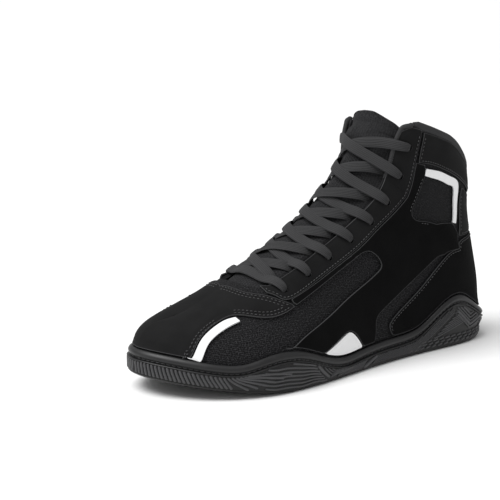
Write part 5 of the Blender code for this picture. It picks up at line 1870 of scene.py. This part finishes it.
# Closed outline of the side panel: smooth runs of (row, t); a run of three is a stretch along the bead
SIDE_OUTLINE = (
    ((3.24, BEAD), (3.36, 0.232), (3.56, 0.262), (3.86, 0.303), (4.40, 0.352), (4.97, 0.403), (5.50, 0.440),
     (5.78, 0.461)),
    ((5.78, 0.461), (5.92, 0.474), (6.00, 0.492), (6.04, 0.520), (6.045, 0.545), (6.02, 0.572), (5.95, 0.588),
     (5.82, 0.593)),
    ((5.82, 0.593), (5.40, 0.577), (4.80, 0.552), (4.30, 0.531), (3.87, 0.511)),
    ((3.87, 0.511), (3.835, 0.535), (3.85, 0.561)),
    ((3.85, 0.561), (4.50, 0.574), (5.20, 0.597), (5.97, 0.625), (6.47, 0.649), (7.12, 0.672), (7.82, 0.689),
     (8.60, 0.684), (9.50, 0.663)),
    ((9.50, 0.663), (9.58, 0.636), (9.68, 0.608)),
    ((9.68, 0.608), (9.47, 0.601), (9.06, 0.617), (8.71, 0.635), (8.35, 0.647), (7.94, 0.652), (7.68, 0.643)),
    ((7.68, 0.643), (7.54, 0.632), (7.44, 0.617), (7.42, 0.597), (7.50, 0.583)),
    ((7.50, 0.583), (7.86, 0.555), (8.31, 0.508), (8.60, 0.460), (8.72, 0.439)),
    ((8.72, 0.439), (8.62, 0.424), (8.56, 0.414)),
    ((8.56, 0.414), (8.30, 0.424), (7.95, 0.422), (7.60, 0.419), (7.36, 0.412)),
    ((7.36, 0.412), (7.13, 0.414), (6.80, 0.395), (6.40, 0.361), (6.00, 0.318), (5.60, 0.270), (5.40, 0.240),
     (5.30, 0.205), (5.24, 0.150), (5.16, BEAD)),
    (BEAD, 5.16, 4.90),
    ((4.90, BEAD), (4.885, 0.085), (4.825, 0.146), (4.735, 0.197), (4.62, 0.209), (4.48, 0.195),
     (4.30, 0.168), (4.02, 0.128), (3.97, BEAD)),
    (BEAD, 3.97, 3.24))


def make_panels():
    """The sewn and welded panels of the upper, with their rows of stitches."""
    both = (1, -1)

    def off_bead(s, t, side):
        return t > bead_t(s, side) + 0.012

    def panel(name, sheet, thickness, look, node, gap=PANEL_GAP, relief=relief_none, rows=(),
              wanted=off_bead):
        made = shell(name, sheet, gap, gap + thickness, look, (node,), relief)
        if rows:
            sew(name.replace("panel", "stitches"), sheet, gap + thickness, rows, wanted)
        return made

    def tabled(table, sides, pitch=PANEL_PITCH):
        return grid_sheet([panel_grid(table, side, pitch) for side in sides])

    def behind_flash(s, t, side):
        return s > 2.5

    def before_flash(s, t, side):
        steps, rows = (0.10, 0.374, 0.543, 0.60, 0.629), (1.62, 1.77, 2.10, 2.25, 2.30)
        return t > 0.16 and s < np.interp(t, steps, rows)

    def outer_seam(s, t, side):
        return t < float(throat_edge(s)) - 0.03 and s < 10.7

    def embossed(places, edge):
        groove = np.exp(-((edge - 0.0014) / 0.0004) ** 2)
        return 0.00012 * smooth_step(edge, 0.0016, 0.0022) - 0.00022 * groove

    panel("toe_panel", tabled(TOE_OVERLAY, both), PANEL_THICKNESS, "nubuck", "toe_overlay",
          relief=sewn(DOUBLE_ROW), rows=DOUBLE_ROW, wanted=behind_flash)
    # The counter takes the darker nubuck copy, in painted shade
    panel("counter_panel", tabled(COUNTER, both), PANEL_THICKNESS, "shaded nubuck", "heel_counter",
          WRAP_GAP, sewn(), (STITCH_ROW,))
    panel("stay_panel", tabled(BACK_STAY, both), PANEL_THICKNESS, "nubuck", "back_stay",
          relief=sewn(), rows=(STITCH_ROW,), wanted=lambda s, t, side: s < 9.9)
    panel("cuff_panel", tabled(CUFF, both), PANEL_THICKNESS, "nubuck", "collar_cuff", relief=sewn(),
          rows=(STITCH_ROW,), wanted=lambda s, t, side: s < 10.7)
    eyestays = []
    for label, side in (("lateral", 1), ("medial", -1)):
        sides = (side,)
        eyestay = tabled(EYESTAY, sides, EYESTAY_PITCH)
        eyestays.append(panel(f"lace_panel_{label}", eyestay, EYESTAY_THICKNESS, "nubuck",
                              f"eyestay_{label}", relief=sewn(), rows=(STITCH_ROW,), wanted=outer_seam))
        # The side panel takes the darker nubuck copy, in painted shade
        panel(f"side_panel_{label}", outline_sheet(SIDE_OUTLINE, sides, PANEL_PITCH), PANEL_THICKNESS,
              "shaded nubuck", f"quarter_panel_{label}", WRAP_GAP, rows=(STITCH_ROW,),
              wanted=lambda s, t, side: 7.5 < s < 9.3 and 0.56 < t < 0.657)
        flash = tabled(TOE_STRIPE, sides, TRIM_PITCH)
        panel(f"toe_flash_{label}", flash, TRIM_THICKNESS, "white", f"toe_stripe_{label}")
        sew(f"flash_stitches_{label}", flash, PANEL_GAP + PANEL_THICKNESS, BESIDE_FLASH, before_flash)
        panel(f"window_film_{label}", tabled(WINDOW, sides, TRIM_PITCH), TRIM_THICKNESS, "white",
              f"sole_window_{label}", relief=embossed)
        panel(f"ankle_flash_{label}", tabled(ANKLE_STRIPE, sides, TRIM_PITCH), TRIM_THICKNESS, "white",
              f"ankle_stripe_{label}")
    return eyestays


# Camera of the photograph, in metres and pixels of a 500 by 500 picture
PICTURE = 500
FOCAL = 1294
AIM_AZIMUTH = 50
AIM_HEIGHT = 10.7
AIM_DISTANCE = 0.889
AIM_POINT = (0.0, 0.0, 0.085)
AIM_PIXEL = (320.8, 239.6)
ROLL = -0.4
SENSOR = 36
CLIP = (0.01, 2000)


def upright(forward):
    """Right and up directions of a camera that looks forward."""
    right = forward.cross(Vector((0, 0, 1))).normalized()
    return right, right.cross(forward)


def make_camera():
    """The photograph's camera, turned so that the aim point shows at its pixel."""
    a, e = math.radians(AIM_AZIMUTH), math.radians(AIM_HEIGHT)
    back = Vector((math.cos(a) * math.cos(e), math.sin(a) * math.cos(e), math.sin(e)))
    place = Vector(AIM_POINT) + back * AIM_DISTANCE
    forward = -back
    for _ in range(3):
        right, up = upright(forward)
        to = Vector(AIM_POINT) - place
        x = PICTURE / 2 + FOCAL * to.dot(right) / to.dot(forward) - AIM_PIXEL[0]
        y = PICTURE / 2 - FOCAL * to.dot(up) / to.dot(forward) - AIM_PIXEL[1]
        forward = (forward + right * (x / FOCAL) - up * (y / FOCAL)).normalized()
    right, up = upright(forward)
    c, s = math.cos(math.radians(ROLL)), math.sin(math.radians(ROLL))
    right, up = right * c + up * s, up * c - right * s
    data = bpy.data.cameras.new("camera")
    data.sensor_width = SENSOR
    data.lens = SENSOR * FOCAL / PICTURE
    data.clip_start, data.clip_end = CLIP
    camera = placed("camera", data)
    turn = Matrix((right, up, -forward)).transposed()
    camera.matrix_world = Matrix.Translation(place) @ turn.to_4x4()
    bpy.context.scene.camera = camera


SKY_STRENGTH = 0.55
SUN_STRENGTH = 2.4
SUN_SPREAD = 40
SUN_WAY = (0.50, -0.05, 1.0)
KEY_PLACE = (0.9, -0.3, 1.0)
KEY_AIM = (0, 0, 0.05)
KEY_SIZE = 0.6
KEY_POWER = 5
FLOOR_REACH = 900.0


def make_light(name, kind, power, way):
    """A light that shines against the given way."""
    data = bpy.data.lights.new(name, kind)
    data.energy = power
    light = placed(name, data)
    light.rotation_euler = way.to_track_quat("Z", "Y").to_euler()
    return light


def make_studio():
    """Pale floor, white surroundings and soft lights."""
    world = bpy.data.worlds.new("studio")
    world.use_nodes = True
    sky = world.node_tree.nodes["Background"].inputs
    sky["Color"].default_value = (1, 1, 1, 1)
    sky["Strength"].default_value = SKY_STRENGTH
    bpy.context.scene.world = world
    data = bpy.data.meshes.new("floor")
    corners = [(x * FLOOR_REACH, y * FLOOR_REACH, 0) for x, y in ((-1, -1), (1, -1), (1, 1), (-1, 1))]
    data.from_pydata(corners, [], [(0, 1, 2, 3)])
    data.materials.append(floor_look())
    floor = placed("floor", data)
    sun = make_light("sun", "SUN", SUN_STRENGTH, Vector(SUN_WAY))
    sun.data.angle = math.radians(SUN_SPREAD)
    key = make_light("key", "AREA", KEY_POWER, Vector(KEY_PLACE) - Vector(KEY_AIM))
    key.data.size = KEY_SIZE
    key.location = KEY_PLACE
    bpy.context.scene.view_settings.view_transform = "Standard"


def main():
    """The whole picture: camera, studio, and the shoe from its cloth out to its laces."""
    make_camera()
    make_studio()
    cloth, lining = make_upper()
    make_insole()
    make_tongue()
    make_binding()
    eyestays = make_panels()
    cut_eyelets([cloth, lining] + eyestays)
    make_sole()
    make_sole_ribs()
    make_sole_stitches()
    make_tread()
    make_laces()


main()
